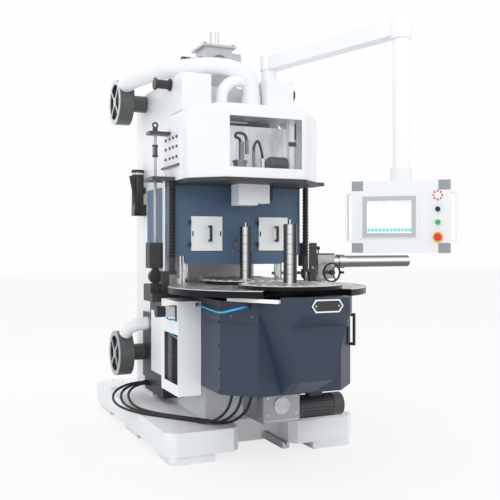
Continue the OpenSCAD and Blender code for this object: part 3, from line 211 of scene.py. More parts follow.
def coated(name, tone, mottle=0.05, peel=0.08, grain=GRAIN_SCALE, clear=0.0):
    """Paint or moulded plastic: faint clouds in the colour and a fine skin."""
    r = Recipe(name)
    cloud = r.cloud()
    r.set(
        Base_Color=r.shades(cloud, scaled(tone.color, 1 - mottle), tone.color),
        Roughness=cloud * 0.12 + (tone.rough - 0.06),
        Metallic=tone.metal,
        Coat_Weight=clear,
        Normal=r.bump(r.grain(grain), peel),
    )


def two_tone(name, first, second, mask, mottle=0.05):
    """One finish where the mask is 0 and another where it is 1, by place on the piece."""
    r = Recipe(name)
    where = mask(*r.axes())
    cloud = r.cloud()
    one, two = (r.shades(cloud, scaled(t.color, 1 - mottle), t.color) for t in (first, second))
    r.set(
        Base_Color=r.mix(where, one, two),
        Roughness=where * (second.rough - first.rough) + first.rough + cloud * 0.1 - 0.05,
        Metallic=where * (second.metal - first.metal) + first.metal,
        Normal=r.bump(r.grain(), 0.06),
    )


def brushed(name, tone, stretch=(6.0, 6.0, 160.0), depth=0.25):
    """Ground metal with streaks along one direction."""
    r = Recipe(name)
    streak = r.noise(3.0, 5.0, stretch)
    smudge = r.noise(5.0, 4.0)
    r.set(
        Base_Color=r.shades(streak * 0.6 + smudge * 0.4, scaled(tone.color, 1 - depth), tone.color),
        Roughness=smudge * 0.25 + (tone.rough - 0.1),
        Metallic=tone.metal,
        Normal=r.bump(streak, 0.05),
    )


def streaks(r, across, up, turn, low):
    """Metal with painted highlights: soft bright bands along a round bar, by the angle round its axis, over the darker
    colour given as low.
    """
    # Painted highlight bands: bright where the cosine of the turned angle peaks
    bands = ((up.math("ARCTAN2", across) + turn) * HIGHLIGHT_BAND_COUNT).math("COSINE") * 0.5 + 0.5
    return r.shades(bands.math("POWER", HIGHLIGHT_BAND_SHARPNESS), low, (0.85, 0.85, 0.86), 0.05, 0.95)


def turned(name, centre, worn, bright, top, with_post=False):
    """Table steel: lathe rings round a centre, oily patches, painted shade on the side below the top with a painted
    highlight line along the edge and, where asked, a grooved post with painted highlight bands.
    """
    r = Recipe(name)
    x, y, z = r.axes()
    dx, dy = x - centre[0], y - centre[1]
    reach = (dx * dx + dy * dy).math("SQRT")
    rings = r.node("ShaderNodeTexNoise", {"noise_dimensions": "1D"}, {"W": reach, "Scale": LATHE_SCALE, "Detail": 3.0})
    patch = r.noise(PATCH_SCALE, 10.0)
    mottle_and_painted_light = r.shades(patch * 0.55 + rings * 0.45, worn, bright, 0.36, 0.62)
    rough = patch * 0.3 + 0.2
    # Painted shade: the side below the top is made near black
    mottle_and_painted_light = r.mix(z < top - EDGE_PAINTED_SHADE, mottle_and_painted_light, (0.018, 0.018, 0.019))
    # Painted highlight: a bright line along the edge
    mottle_and_painted_light = r.mix((z < top - EDGE_PAINTED_HIGHLIGHT[0]) * (z > top - EDGE_PAINTED_HIGHLIGHT[1]), mottle_and_painted_light, bright)
    if with_post:
        post = z > top + POST_FOOT
        groove = ((z - top) * (1 / POST_RING)).math("FRACT") > GROOVE_START
        # The post's grooves are dark joints; its bright bands are painted highlights
        grooves_and_painted_highlights = r.mix(groove * 0.6, streaks(r, dx, dy, POST_HIGHLIGHT_TURN, (0.045, 0.045, 0.048)), (0.03, 0.03, 0.03))
        mottle_and_painted_light = r.mix(post, mottle_and_painted_light, grooves_and_painted_highlights)
        rough = rough * (1 - post) + post * 0.2
    r.set(Base_Color=mottle_and_painted_light, Roughness=rough, Metallic=0.85, Normal=r.bump(rings, 0.04))


def dresser_metal(name, casting):
    """Grey casting and black stand of the dresser, with painted highlight bands along its round parts."""
    r = Recipe(name)
    x, y, z = r.axes()
    across, up = y - DRESSER_Y, z - DRESSER_Z
    tube = across * across + up * up < DRESSER_R ** 2
    stand = dresser_stand(x, y, z)
    cloud = r.cloud((0.5, 9.0, 9.0))
    skin = r.shades(cloud, scaled(casting.color, 0.65), casting.color)
    # Painted highlight bands on the round tube
    skin = r.mix(tube, skin, streaks(r, across, up, DRESSER_HIGHLIGHT_TURN, (0.16, 0.16, 0.165)))
    r.set(
        Base_Color=r.mix(stand, skin, BLACK.color),
        Roughness=cloud * 0.1 + casting.rough,
        Metallic=(1 - stand) * casting.metal,
        Normal=r.bump(r.grain(), 0.06),
    )


def gritty(name, tone):
    """Bonded abrasive: coarse grains and pores."""
    r = Recipe(name)
    grain = r.noise(420.0, 4.0)
    r.set(
        Base_Color=r.shades(grain, scaled(tone.color, 0.55), scaled(tone.color, 1.25), 0.35, 0.65),
        Roughness=tone.rough,
        Normal=r.bump(grain, 0.5, 0.001),
    )


def clear_pane(name, tone, cover):
    """Clear plastic that hides next to nothing, a little uneven."""
    r = Recipe(name)
    r.set(Base_Color=tone.color, Roughness=tone.rough, Alpha=r.noise(3.0) * 0.03 + cover, Specular_IOR_Level=0.3)


def glowing_wall(name, color):
    """Pale cast wall with stains, which glows by its own emission: painted light standing in for light inside the
    head, where there is no lamp.
    """
    r = Recipe(name)
    stain = r.noise(7.0, 6.0, (1.0, 1.0, 0.35))
    shade = r.shades(stain, scaled(color, 0.55), color, 0.35, 0.6)
    # Painted light: the emission makes the wall glow though it is no lamp
    r.set(Base_Color=shade, Roughness=0.5, Emission_Color=shade, Emission_Strength=0.8)


def lit_screen(name, glass, keys, half_w, half_h):
    """A dim screen: a pale field with darker boxes, a teal row of keys at its foot."""
    r = Recipe(name)
    x, _, z = r.axes()
    row = (z < -half_h * KEY_ROW[0]) * (z > -half_h * KEY_ROW[1])
    gaps = (x * (KEYS / half_w)).math("FRACT").size() > 0.16
    header = z > half_h * HEADER_FOOT
    across, down = (x * (CELLS[0] / half_w)).math("FRACT"), (z * (CELLS[1] / half_h)).math("FRACT")
    cells = (across.size() > 0.3) * (down.size() > 0.45)
    field = r.mix(cells * 0.25, glass, scaled(glass, 0.72))
    field = r.mix(header * 0.3, field, scaled(glass, 0.5))
    field = r.mix(row * gaps, field, keys)
    r.set(Base_Color=field, Roughness=0.18, Emission_Color=field, Emission_Strength=0.35)


SHEET = Tone((0.91, 0.92, 0.94), 0.4)
BLACK = Tone((0.018, 0.018, 0.02), 0.45)
STEEL = Tone((0.56, 0.57, 0.58), 0.32, 1.0)
IRON = Tone((0.2, 0.2, 0.205), 0.6, 0.6)
ALLOY = Tone((0.66, 0.67, 0.68), 0.42, 0.9)

# Places in millimetres that finishes and pieces share, depths from the turret's axis
DISC_REACH = 316
BALANCE_X, BALANCE_Y = 553, 500

# Where a rigid piece changes finish, in metres in the machine's frame
BRACKET_SKIN = 0.4615
ROD_REACH = 0.0125
PULL_Y = TURRET_Y + 0.4062
GEAR_CAP = 0.1115
KNOB_X = -0.6235
REGULATOR_ARM_X = -0.55
MOTOR_X = 0.1095
DRUM_FACE = -0.6285
PUMP_RING = (1.803, 1.816)
JACK_TAIL_X = -0.19
TURRET_TOP = 1.04
DISC_TOP = 1.0645
DRESSER_Y, DRESSER_Z, DRESSER_R = TURRET_Y + 0.6, 1.165, 0.0522
DRESSER_STAND = (1.0, 1.215)
PANEL_MID = spot(572.9, -582.8, 1444)
PANEL_TURN = math.radians(-40)
PANEL_PAD = (0.208, 0.148)

# The screen, in shares and counts of its half height and half width
KEY_ROW = (0.72, 0.92)
KEYS = 6
HEADER_FOOT = 0.78
CELLS = (2.2, 3)
# Under the top of a table or disc its side gets painted shade, with a painted highlight line between two depths
EDGE_PAINTED_SHADE = 0.0012
EDGE_PAINTED_HIGHLIGHT = (0.0002, 0.0035)
# A post starts above its foot and has a groove in the last part of each ring
POST_FOOT = 0.003
POST_RING = 0.0567
GROOVE_START = 0.94
# Painted highlight bands round a bar, and the turn that brings one to the front
HIGHLIGHT_BAND_COUNT = 3
HIGHLIGHT_BAND_SHARPNESS = 3.0
POST_HIGHLIGHT_TURN = 2.07
DRESSER_HIGHLIGHT_TURN = -2.84


def door_pull(x, y, z):
    return y < PULL_Y


def bracket_fittings(x, y, z):
    """The bolts, shelves and turnbuckles beside the brackets, but not the bright rods between them."""
    beside, behind = x.size() - BALANCE_X / 1000, y - (TURRET_Y + BALANCE_Y / 1000)
    rods = (beside.size() < ROD_REACH) * (behind.size() < ROD_REACH)
    return (x.size() > BRACKET_SKIN) * (1 - rods * 0.55)


def gear_cap(x, y, z):
    return x > GEAR_CAP


def regulator_knob(x, y, z):
    return (x < KNOB_X) + (x > REGULATOR_ARM_X)


def drive_motor(x, y, z):
    return x > MOTOR_X


def drum_spokes(x, y, z):
    return x < DRUM_FACE


def pump_ring(x, y, z):
    return (z > PUMP_RING[0]) * (z < PUMP_RING[1])


def jack_tail(x, y, z):
    return x < JACK_TAIL_X


def dresser_stand(x, y, z):
    return (z < DRESSER_STAND[0]) + (z > DRESSER_STAND[1])


def panel_corners(x, y, z):
    """Grey pads at the panel's four corners, in the panel's own turned frame."""
    across = (x - PANEL_MID.x) * math.cos(PANEL_TURN) + (y - PANEL_MID.y) * math.sin(PANEL_TURN)
    return (across.size() > PANEL_PAD[0]) * ((z - PANEL_MID.z).size() > PANEL_PAD[1])


def make_finishes(paint):
    """Makes every finish; finished() then gives each by its name."""
    white = Tone(tuple(paint.enamel_white), 0.42)
    blue = Tone(tuple(paint.housing_blue), 0.46)
    disc_greys = ((0.26, 0.26, 0.26), (0.8, 0.8, 0.8))
    coated("machine_white", white)
    coated("sheet_white", SHEET, mottle=0.03)
    coated("housing_blue", blue, mottle=0.12, peel=0.16, grain=FINE_GRAIN)
    coated("plate_dark", Tone((0.035, 0.038, 0.045), 0.5))
    coated("bracket_black", Tone((0.035, 0.035, 0.038), 0.45), mottle=0.25)
    coated("matt_black", BLACK, mottle=0.2)
    coated("black_rubber", Tone((0.012, 0.012, 0.013), 0.55), mottle=0.2, peel=0.1, grain=400.0)
    two_tone("panel_grey", Tone((0.84, 0.85, 0.87), 0.38), Tone((0.3, 0.32, 0.34), 0.45), panel_corners, mottle=0.03)
    coated("lining_grey", Tone((0.2, 0.2, 0.205), 0.5), mottle=0.15)
    coated("screen_rim", Tone((0.5, 0.51, 0.53), 0.4), mottle=0.1)
    coated("panel_white", Tone((0.86, 0.87, 0.88), 0.35), mottle=0.02)
    brushed("steel", STEEL)
    brushed("steel_dull", Tone((0.3, 0.31, 0.32), 0.42, 0.9), stretch=(40.0, 40.0, 40.0), depth=0.5)
    brushed("chrome", Tone((0.78, 0.79, 0.81), 0.16, 1.0), stretch=(9.0, 9.0, 9.0), depth=0.12)
    brushed("alloy", ALLOY, stretch=(12.0, 12.0, 12.0), depth=0.35)
    glowing_wall("glowing_wall", (0.62, 0.64, 0.67))
    # The shroud's blue is lighter than the housing's to offset the head's shadow: painted light
    coated("shroud_blue", Tone(tuple(paint.shroud_blue), 0.5), mottle=0.1, peel=0.12, grain=FINE_GRAIN)
    coated("cast_iron", IRON, mottle=0.3, peel=0.4, grain=260.0)
    gritty("abrasive", Tone((0.22, 0.17, 0.14), 0.9))
    turned("table_steel", (0.0, TURRET_Y), (0.16, 0.16, 0.16), (0.9, 0.9, 0.9), TURRET_TOP)
    turned("disc_rear", (0.0, TURRET_Y + DISC_REACH / 1000), *disc_greys, DISC_TOP, with_post=True)
    turned("disc_front", (0.0, TURRET_Y - DISC_REACH / 1000), *disc_greys, DISC_TOP, with_post=True)
    brushed("guard_steel", Tone((0.95, 0.95, 0.95), 0.3, 0.85), stretch=(9.0, 9.0, 1.2), depth=0.75)
    coated("tube_blue", Tone((0.0, 0.44, 0.88), 0.3), mottle=0.1, peel=0.02, clear=0.4)
    coated("signal_red", Tone((0.7, 0.012, 0.012), 0.3), peel=0.02, clear=0.4)
    coated("signal_green", Tone((0.01, 0.4, 0.09), 0.3), peel=0.02, clear=0.4)
    coated("signal_yellow", Tone((0.85, 0.6, 0.02), 0.4), peel=0.02)
    coated("motor_green", Tone((0.1, 0.14, 0.14), 0.5), mottle=0.25)
    # The doors' white is lighter than the enamel to offset the shadow under the head: painted light
    two_tone("door_white", Tone((0.96, 0.97, 0.98), 0.42), BLACK, door_pull)
    two_tone("bracket_white", white, Tone((0.09, 0.09, 0.095), 0.4, 0.6), bracket_fittings)
    two_tone("gearmotor_white", white, BLACK, gear_cap)
    two_tone("regulator", Tone((0.62, 0.63, 0.65), 0.35, 0.3), BLACK, regulator_knob)
    two_tone("index_drive", Tone((0.4, 0.4, 0.42), 0.42, 0.9), Tone((0.065, 0.07, 0.075), 0.45), drive_motor,
             mottle=0.25)
    two_tone("blower_grey", Tone((0.105, 0.113, 0.11), 0.42), Tone((0.5, 0.51, 0.53), 0.35, 0.3), drum_spokes,
             mottle=0.2)
    two_tone("lube_black", Tone((0.03, 0.03, 0.033), 0.3), Tone((0.8, 0.8, 0.82), 0.3, 0.5), pump_ring,
             mottle=0.2)
    two_tone("jack_motor", Tone((0.5, 0.51, 0.52), 0.35, 0.9), BLACK, jack_tail)
    coated("jack_grey", Tone((0.62, 0.63, 0.65), 0.4), mottle=0.15)
    dresser_metal("dresser_grey", Tone((0.5, 0.51, 0.52), 0.3, 0.85))
    clear_pane("pane", Tone((0.8, 0.84, 0.87), 0.05), cover=0.015)


# The rigid pieces that take each finish
NODE_FINISH = {
    "machine_white": "base_casting column_frame head_shell",
    "sheet_white": "side_cabinet access_plates fume_ducts pendant_post pendant_arm rear_door",
    "housing_blue": "lower_housing front_cowl",
    "shroud_blue": "chamber_shroud",
    "plate_dark": "head_base_plate",
    "bracket_black": "guide_brackets balance_cylinders lifting_trunnions lube_lever housing_hardware",
    "matt_black": "cable_box dresser_handwheel selector_knob",
    "black_rubber": "bellows_left bellows_right cable_a cable_b cable_c",
    "tube_blue": "air_tube",
    "panel_grey": "panel_box",
    "steel": "slide_rails upper_spindle lower_quill dresser_ram control_rack",
    "steel_dull": "impeller_upper impeller_lower",
    "chrome": "guide_columns lift_screw",
    "alloy": "base_rail",
    "cast_iron": "spindle_block head_slide",
    "abrasive": "upper_wheel lower_wheel",
    "table_steel": "turret",
    "disc_rear": "disc_a",
    "disc_front": "disc_b",
    "guard_steel": "wheel_guard",
    "signal_red": "e_stop",
    "signal_green": "start_button",
    "door_white": "door_left door_right",
    "bracket_white": "head_brackets",
    "gearmotor_white": "head_gearmotor",
    "regulator": "air_regulator",
    "index_drive": "index_drive",
    "blower_grey": "blower_housings",
    "lube_black": "lube_pump",
    "jack_motor": "jack_motor",
    "jack_grey": "lift_jack",
    "dresser_grey": "dresser_body",
    "pane": "head_window",
}


def finished(name):
    """The finish of that name, once it is made."""
    return bpy.data.materials[name + FINISH_TAG]


# ---------------------------------------------------------------- forms

# The six sides of a box whose corners run along X first, then Y, then Z
BOX_SIDES = [(0, 2, 3, 1), (4, 5, 7, 6), (0, 1, 5, 4), (2, 6, 7, 3), (0, 4, 6, 2), (1, 3, 7, 5)]


def ring_faces(rows, sides, closed=False):
    """Faces between rings of points that follow each other; closed joins the last ring to the first."""
    return [
        (i * sides + k, i * sides + (k + 1) % sides,
         (i + 1) % rows * sides + (k + 1) % sides, (i + 1) % rows * sides + k)
        for i in range(rows if closed else rows - 1)
        for k in range(sides)
    ]


class Form:
    """Points and faces of one piece, built from bars, rods, tubes and rings."""

    def __init__(self):
        self.points, self.faces = [], []

    def add(self, points, faces):
        """Joins more points, and faces that count from the first of them."""
        start = len(self.points)
        self.points += [Vector(p) for p in points]
        self.faces += [[start + i for i in face] for face in faces]
        return self

    def block(self, low, high):
        """Box between two corners."""
        a, b = Vector(low), Vector(high)
        corners = [(x, y, z) for z in (a.z, b.z) for y in (a.y, b.y) for x in (a.x, b.x)]
        return self.add(corners, BOX_SIDES)

    def bar(self, centre, along, across, up):
        """Box from its centre and three half edges."""
        c, u, v, w = (Vector(q) for q in (centre, along, across, up))
        corners = [c + i * u + j * v + k * w for k in (-1, 1) for j in (-1, 1) for i in (-1, 1)]
        return self.add(corners, BOX_SIDES)

    def tube(self, line, radius, sides=16):
        """Round bar along a line of points."""
        line = [Vector(p) for p in line]
        last = len(line) - 1
        side = None
        points = []
        for i, p in enumerate(line):
            heading = (line[min(i + 1, last)] - line[max(i - 1, 0)]).normalized()
            if side is None:
                side = heading.orthogonal().normalized()
            side = (side - heading * side.dot(heading)).normalized()
            up = heading.cross(side)
            for k in range(sides):
                turn = 2 * math.pi * k / sides
                points.append(p + radius * (side * math.cos(turn) + up * math.sin(turn)))
        faces = ring_faces(len(line), sides)
        faces.append(tuple(reversed(range(sides))))
        faces.append(tuple(range(last * sides, last * sides + sides)))
        return self.add(points, faces)

    def rod(self, start, end, radius, sides=24):
        """Round bar between two points."""
        return self.tube([start, end], radius, sides)

    def hoop(self, centre, axis, ring, radius, turns=32, sides=10):
        """Torus round an axis."""
        axis = Vector(axis).normalized()
        u = axis.orthogonal().normalized()
        v = axis.cross(u)
        points = []
        for i in range(turns):
            a = 2 * math.pi * i / turns
            out = u * math.cos(a) + v * math.sin(a)
            for k in range(sides):
                b = 2 * math.pi * k / sides
                points.append(Vector(centre) + out * (ring + radius * math.cos(b)) + axis * radius * math.sin(b))
        return self.add(points, [(a, d, c, b) for a, b, c, d in ring_faces(turns, sides, True)])

    def spun(self, centre, profile, sides=32):
        """Closed profile of (radius, height) turned round an upright axis."""
        points = [
            Vector(centre) + Vector((r * math.cos(2 * math.pi * k / sides), r * math.sin(2 * math.pi * k / sides), h))
            for r, h in profile
            for k in range(sides)
        ]
        return self.add(points, ring_faces(len(profile), sides, True))

    def washer(self, outline, hole, lift):
        """Flat ring between two outlines with the same number of points, raised by lift."""
        n = len(outline)
        lift = Vector(lift)
        outline, hole = [Vector(p) for p in outline], [Vector(p) for p in hole]
        points = outline + hole + [p + lift for p in outline] + [p + lift for p in hole]
        faces = []
        for i in range(n):
            j = (i + 1) % n
            faces += [
                (2 * n + i, 2 * n + j, 3 * n + j, 3 * n + i), (i, n + i, n + j, j),
                (i, j, 2 * n + j, 2 * n + i), (n + i, 3 * n + i, 3 * n + j, n + j),
            ]
        return self.add(points, faces)

    def make(self, name, finish, body, slot, place=None, smooth=False):
        """Turns the form into a piece with its finish, on its body."""
        mesh = bpy.data.meshes.new(name)
        mesh.from_pydata(self.points, [], self.faces)
        mesh.validate()
        made = bpy.data.objects.new(name, mesh)
        bpy.context.scene.collection.objects.link(made)
        mesh.materials.append(finished(finish))
        if smooth:
            mesh.shade_smooth()
            mesh.set_sharp_from_angle(angle=math.radians(35))
        if place is not None:
            made.matrix_world = place
        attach(made, body)
        return made


def smooth_line(stops, steps=5):
    """Points of a smooth curve through given stops, which are in millimetres."""
    stops = [spot(*p) for p in stops]
    last = len(stops) - 1
    line = []
    for i in range(last):
        a, b, c, d = stops[max(i - 1, 0)], stops[i], stops[i + 1], stops[min(i + 2, last)]
        for s in range(steps):
            t = s / steps
            line.append(0.5 * (2 * b + (c - a) * t + (2 * a - 5 * b + 4 * c - d) * t * t
                               + (3 * b - a - 3 * c + d) * t ** 3))
    return line + [stops[-1]]


def run_of(name, stops, radius, finish, replaced):
    """A cable or tube as a round curve through its stops, on the machine's body, in place of the part it hides."""
    line = smooth_line(stops)
    data = bpy.data.curves.new(name, "CURVE")
    data.dimensions = "3D"
    data.bevel_depth = radius
    data.bevel_resolution = 4
    data.use_fill_caps = True
    spline = data.splines.new("POLY")
    spline.points.add(len(line) - 1)
    for point, p in zip(spline.points, line):
        point.co = (*p, 1)
    spline.use_smooth = True
    data.materials.append(finished(finish))
    made = bpy.data.objects.new(name, data)
    bpy.context.scene.collection.objects.link(made)
    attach(made, "machine")
    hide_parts(replaced)
    length = sum((b - a).length for a, b in zip(line, line[1:]))


# Routes in millimetres, depths from the turret's axis: cables and air tube, then the fume pipes
CABLE_STOPS = {
    "a": [
        (-425, 1210, 280), (-470, 1210, 280), (-545, 1195, 274), (-615, 1155, 262), (-670, 1090, 246),
        (-704, 1005, 230), (-716, 910, 216), (-708, 815, 206), (-686, 725, 201), (-655, 640, 199),
        (-615, 560, 199), (-560, 480, 199), (-502, 400, 199), (-444, 320, 199), (-386, 240, 199),
        (-350, 165, 202), (-316, 90, 222), (-288, 25, 262), (-266, -28, 318), (-254, -54, 385),
        (-250, -60, 430), (-250, -60, 458),
    ],
    "b": [
        (-425, 1170, 280), (-470, 1170, 280), (-535, 1152, 272), (-590, 1115, 258), (-630, 1055, 242),
        (-654, 975, 227), (-664, 885, 214), (-658, 790, 205), (-637, 700, 201), (-605, 612, 199),
        (-565, 532, 199), (-510, 452, 199), (-452, 372, 199), (-394, 292, 199), (-336, 212, 199),
        (-300, 137, 202), (-266, 62, 222), (-238, -3, 262), (-216, -56, 318), (-204, -82, 385),
        (-200, -88, 430), (-200, -88, 458),
    ],
    "c": [
        (-425, 1130, 280), (-465, 1130, 280), (-520, 1112, 270), (-562, 1075, 254), (-592, 1015, 238),
        (-608, 940, 224), (-614, 850, 212), (-608, 760, 204), (-588, 672, 200), (-555, 584, 199),
        (-515, 504, 199), (-460, 424, 199), (-402, 344, 199), (-344, 264, 199), (-286, 184, 199),
        (-250, 109, 202), (-216, 34, 222), (-188, -31, 262), (-166, -84, 318), (-154, -110, 385),
        (-150, -116, 430), (-150, -116, 458),
    ],
}
AIR_STOPS = [
    (-445, -3, 933), (-445, -40, 933), (-446, -110, 930), (-448, -190, 925), (-450, -270, 921),
    (-450, -340, 920), (-450, -390, 922), (-445, -416, 926), (-430, -438, 932), (-407, -453, 939),
    (-380, -459, 945), (-353, -453, 949), (-330, -438, 950), (-312, -420, 950),
]

DUCT_STOPS = [
    (-580, 1128, 2430), (-580, 1090, 2433), (-545, 980, 2448), (-440, 820, 2470), (-310, 690, 2482),
    (-190, 600, 2488), (-60, 550, 2484), (50, 525, 2455), (112, 520, 2400), (130, 520, 2330),
    (130, 520, 2280), (130, 520, 2190),
]
ARCH_STOPS = [
    (-90, 520, 2170), (-90, 520, 2240), (-78, 520, 2315), (-30, 520, 2372), (40, 520, 2394), (112, 520, 2380),
]
LOW_STOPS = [
    (-578, 1152, 648), (-562, 1115, 690), (-510, 1098, 716), (-455, 1095, 722), (-419.5, 1095, 722),
]
DUCT_R, ARCH_R, LOW_R = 0.058, 0.04, 0.046

# Guide bellows in millimetres: their axes, ends, bore and folds
GUIDE_X, GUIDE_Y = 476, 388
BELLOWS_Z = (1208, 1689.5)
BELLOWS_R = (12, 16, 22)
BELLOWS_RIBS = 22

# The operator panel's own frame: its centre on the drop tube, its front along -Y after the turn
PANEL_PLACE = Matrix.Translation((PANEL_MID.x, PANEL_MID.y, 0)) @ Matrix.Rotation(PANEL_TURN, 4, "Z")
PANEL_FACE = -0.06
BEZEL_FACE = -0.065
BEZEL_MID = Vector((-0.062, BEZEL_FACE, PANEL_MID.z))
CONTROL_X = 0.205
CONTROL_Z = {"stop": 1.3298, "start": 1.4114, "selector": 1.4848, "lamp": 1.5623}

# Camera, and lamps with their place, width and share of the key's power, all aimed at one place
CAMERA_AT = (-1952.9, -4138.2, 1285)
LAMPS_AIM = (0, 500, 1100)
LAMPS = {
    "key": ((-2600, -3600, 3900), 2.6, 1.0),
    "fill": ((3400, -2600, 2600), 3.0, 0.35),
    "rim": ((-1500, 4200, 3600), 3.0, 0.4),
}
FLOOR_REACH = 30.0
FLOOR_GLOW = 0.78


# ---------------------------------------------------------------- settings


class PaintSettings(bpy.types.PropertyGroup):
    enamel_white: FloatVectorProperty(
        name="Enamel", description="Colour of the base, column and head", subtype="COLOR",
        default=(0.9, 0.91, 0.93), min=0, max=1,
    )
    housing_blue: FloatVectorProperty(
        name="Housing", description="Colour of the lower housing and its cowl", subtype="COLOR",
        default=(0.026, 0.042, 0.077), min=0, max=1,
    )
    # Lighter than the housing blue to offset the head's shadow: painted light
    shroud_blue: FloatVectorProperty(
        name="Shroud", description="Colour of the grinding chamber's shroud", subtype="COLOR",
        default=(0.082, 0.142, 0.235), min=0, max=1,
    )


class DetailSettings(bpy.types.PropertyGroup):
    cable_radius: FloatProperty(
        name="Cable radius", description="Radius of the black cables", default=0.0085, unit="LENGTH"
    )
    tube_radius: FloatProperty(
        name="Air tube radius", description="Radius of the blue air tube", default=0.006, unit="LENGTH"
    )
    screw_radius: FloatProperty(
        name="Screw radius", description="Radius of the small screw heads", default=0.005, unit="LENGTH"
    )
    fins: IntProperty(name="Motor fins", description="Cooling fins on the index motor", default=22, min=8, max=40)
    holes: IntProperty(name="Loading holes", description="Holes round a loading disc", default=24, min=8, max=48)
    lamps: IntProperty(name="Panel lamps", description="Red lamps in the panel's ring", default=8, min=4, max=12)


class StageSettings(bpy.types.PropertyGroup):
    lens: FloatProperty(name="Lens", description="Focal length of the camera", default=54.0, min=20, unit="CAMERA")
    heading: FloatProperty(
        name="Heading", description="Turn of the camera to the machine's left", default=math.radians(24.0),
        subtype="ANGLE",
    )
    key_power: FloatProperty(
        name="Key light", description="Power of the key lamp", default=54.0, min=0, unit="POWER"
    )
    sky: FloatProperty(name="Sky", description="Strength of the even light all round", default=0.93, min=0)
    backdrop: FloatProperty(name="Backdrop", description="Paleness of floor and backdrop", default=0.99, min=0)


# ---------------------------------------------------------------- operators


class GRINDER_OT_stage(bpy.types.Operator):
    """Camera, floor, lamps and an even sky"""

    bl_idname = "grinder.stage"
    bl_label = "Stage"

    def execute(self, context):
        scene, settings = context.scene, context.scene.grinder_stage
        lens = bpy.data.cameras.new("photo_view")
        lens.lens, lens.sensor_width = settings.lens, 36.0
        lens.shift_y = -0.01
        lens.clip_end = 100.0
        camera = bpy.data.objects.new("photo_view", lens)
        camera.location = spot(*CAMERA_AT)
        camera.rotation_euler = (math.radians(90), 0, -settings.heading)
        scene.collection.objects.link(camera)
        scene.camera = camera

        for name, (place, width, share) in LAMPS.items():
            lamp = bpy.data.lights.new(name, "AREA")
            lamp.energy, lamp.size = settings.key_power * share, width
            holder = bpy.data.objects.new(name, lamp)
            holder.location = spot(*place)
            holder.rotation_euler = (spot(*LAMPS_AIM) - spot(*place)).to_track_quat("-Z", "Y").to_euler()
            scene.collection.objects.link(holder)

        world = bpy.data.worlds.new("even_sky")
        scene.world = world
        sky = Nodes(world)
        seen = sky.rays("Is Camera Ray", "Is Glossy Ray", "Is Transmission Ray")
        soft = sky.node("ShaderNodeBackground", {}, {"Color": (0.97, 0.985, 1), "Strength": settings.sky})
        plain = sky.node("ShaderNodeBackground", {}, {"Color": (1, 1, 1), "Strength": settings.backdrop})
        sky.node("ShaderNodeOutputWorld", {}, {0: sky.node("ShaderNodeMixShader", {}, {0: seen, 1: soft, 2: plain})})

        floor = bpy.data.meshes.new("floor")
        corners = [(i * FLOOR_REACH, j * FLOOR_REACH, 0) for i, j in ((-1, -1), (1, -1), (1, 1), (-1, 1))]
        floor.from_pydata(corners, [], [(0, 1, 2, 3)])
        ground = bpy.data.objects.new("floor", floor)
        scene.collection.objects.link(ground)
        floor.materials.append(self.floor_finish(settings.backdrop))
        scene.view_settings.view_transform = "Standard"
        return {"FINISHED"}

    def floor_finish(self, paleness):
        """Pale floor that keeps the machine's shadow and is near white to the camera."""
        material = bpy.data.materials.new("pale_floor")
        pale = Nodes(material)
        matt = pale.node("ShaderNodeBsdfDiffuse", {}, {"Color": (0.9, 0.9, 0.9)})
        glow = pale.node("ShaderNodeEmission", {}, {"Strength": paleness})
        share = pale.rays("Is Camera Ray") * FLOOR_GLOW
        mixed = pale.node("ShaderNodeMixShader", {}, {0: share, 1: matt, 2: glow})
        pale.node("ShaderNodeOutputMaterial", {}, {0: mixed})
        return material


class GRINDER_OT_paint(bpy.types.Operator):
    """Finishes of all the rigid pieces"""

    bl_idname = "grinder.paint"
    bl_label = "Paint"

    def execute(self, context):
        make_finishes(context.scene.grinder_paint)
        for finish, nodes in NODE_FINISH.items():
            for name in nodes.split():
                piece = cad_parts[name]
                if not piece.material_slots:
                    piece.data.materials.append(finished(finish))
                for held in piece.material_slots:
                    held.link = "OBJECT"
                    held.material = finished(finish)
        return {"FINISHED"}


class GRINDER_OT_cables(bpy.types.Operator):
    """The three black cables over the base and the blue air tube"""

    bl_idname = "grinder.cables"
    bl_label = "Cables"

    def execute(self, context):
        sizes = context.scene.grinder_details
        for key, stops in CABLE_STOPS.items():
            run_of("cable_run_" + key, stops, sizes.cable_radius, "black_rubber",
                   "cable_" + key)
        run_of("air_tube_run", AIR_STOPS, sizes.tube_radius, "tube_blue",
               "air_tube")
        glands = Form()
        bottom, top, radius = Vector((0, 0, 0.022)), Vector((0, 0, 0.001)), 0.015
        for stops in CABLE_STOPS.values():
            end = spot(*stops[-1])
            glands.rod(end - bottom, end - top, radius, 6)
        glands.make("cable_glands", "matt_black", "machine", "black_plastic")
        return {"FINISHED"}


class GRINDER_OT_ducts(bpy.types.Operator):
    """Smooth white fume pipes from the blowers to the head and the housing"""

    bl_idname = "grinder.ducts"
    bl_label = "Fume ducts"

    def execute(self, context):
        pipes = Form()
        for stops, radius in ((DUCT_STOPS, DUCT_R), (ARCH_STOPS, ARCH_R), (LOW_STOPS, LOW_R)):
            pipes.tube(smooth_line(stops, 6), radius, 40)
        made = pipes.make("fume_pipes", "sheet_white", "machine", "sheet_white", smooth=True)
        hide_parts("fume_ducts")
        bands, thick = Form(), 0.0035
        bands.hoop(spot(-579, 1124, 2430), (0, 1, 0), DUCT_R, thick, 40, 8)
        bands.hoop(spot(-430, 1095, 722), (1, 0, 0), LOW_R, thick, 36, 8)
        bands.make("duct_bands", "steel_dull", "machine", "dark_metal", smooth=True)
        return {"FINISHED"}


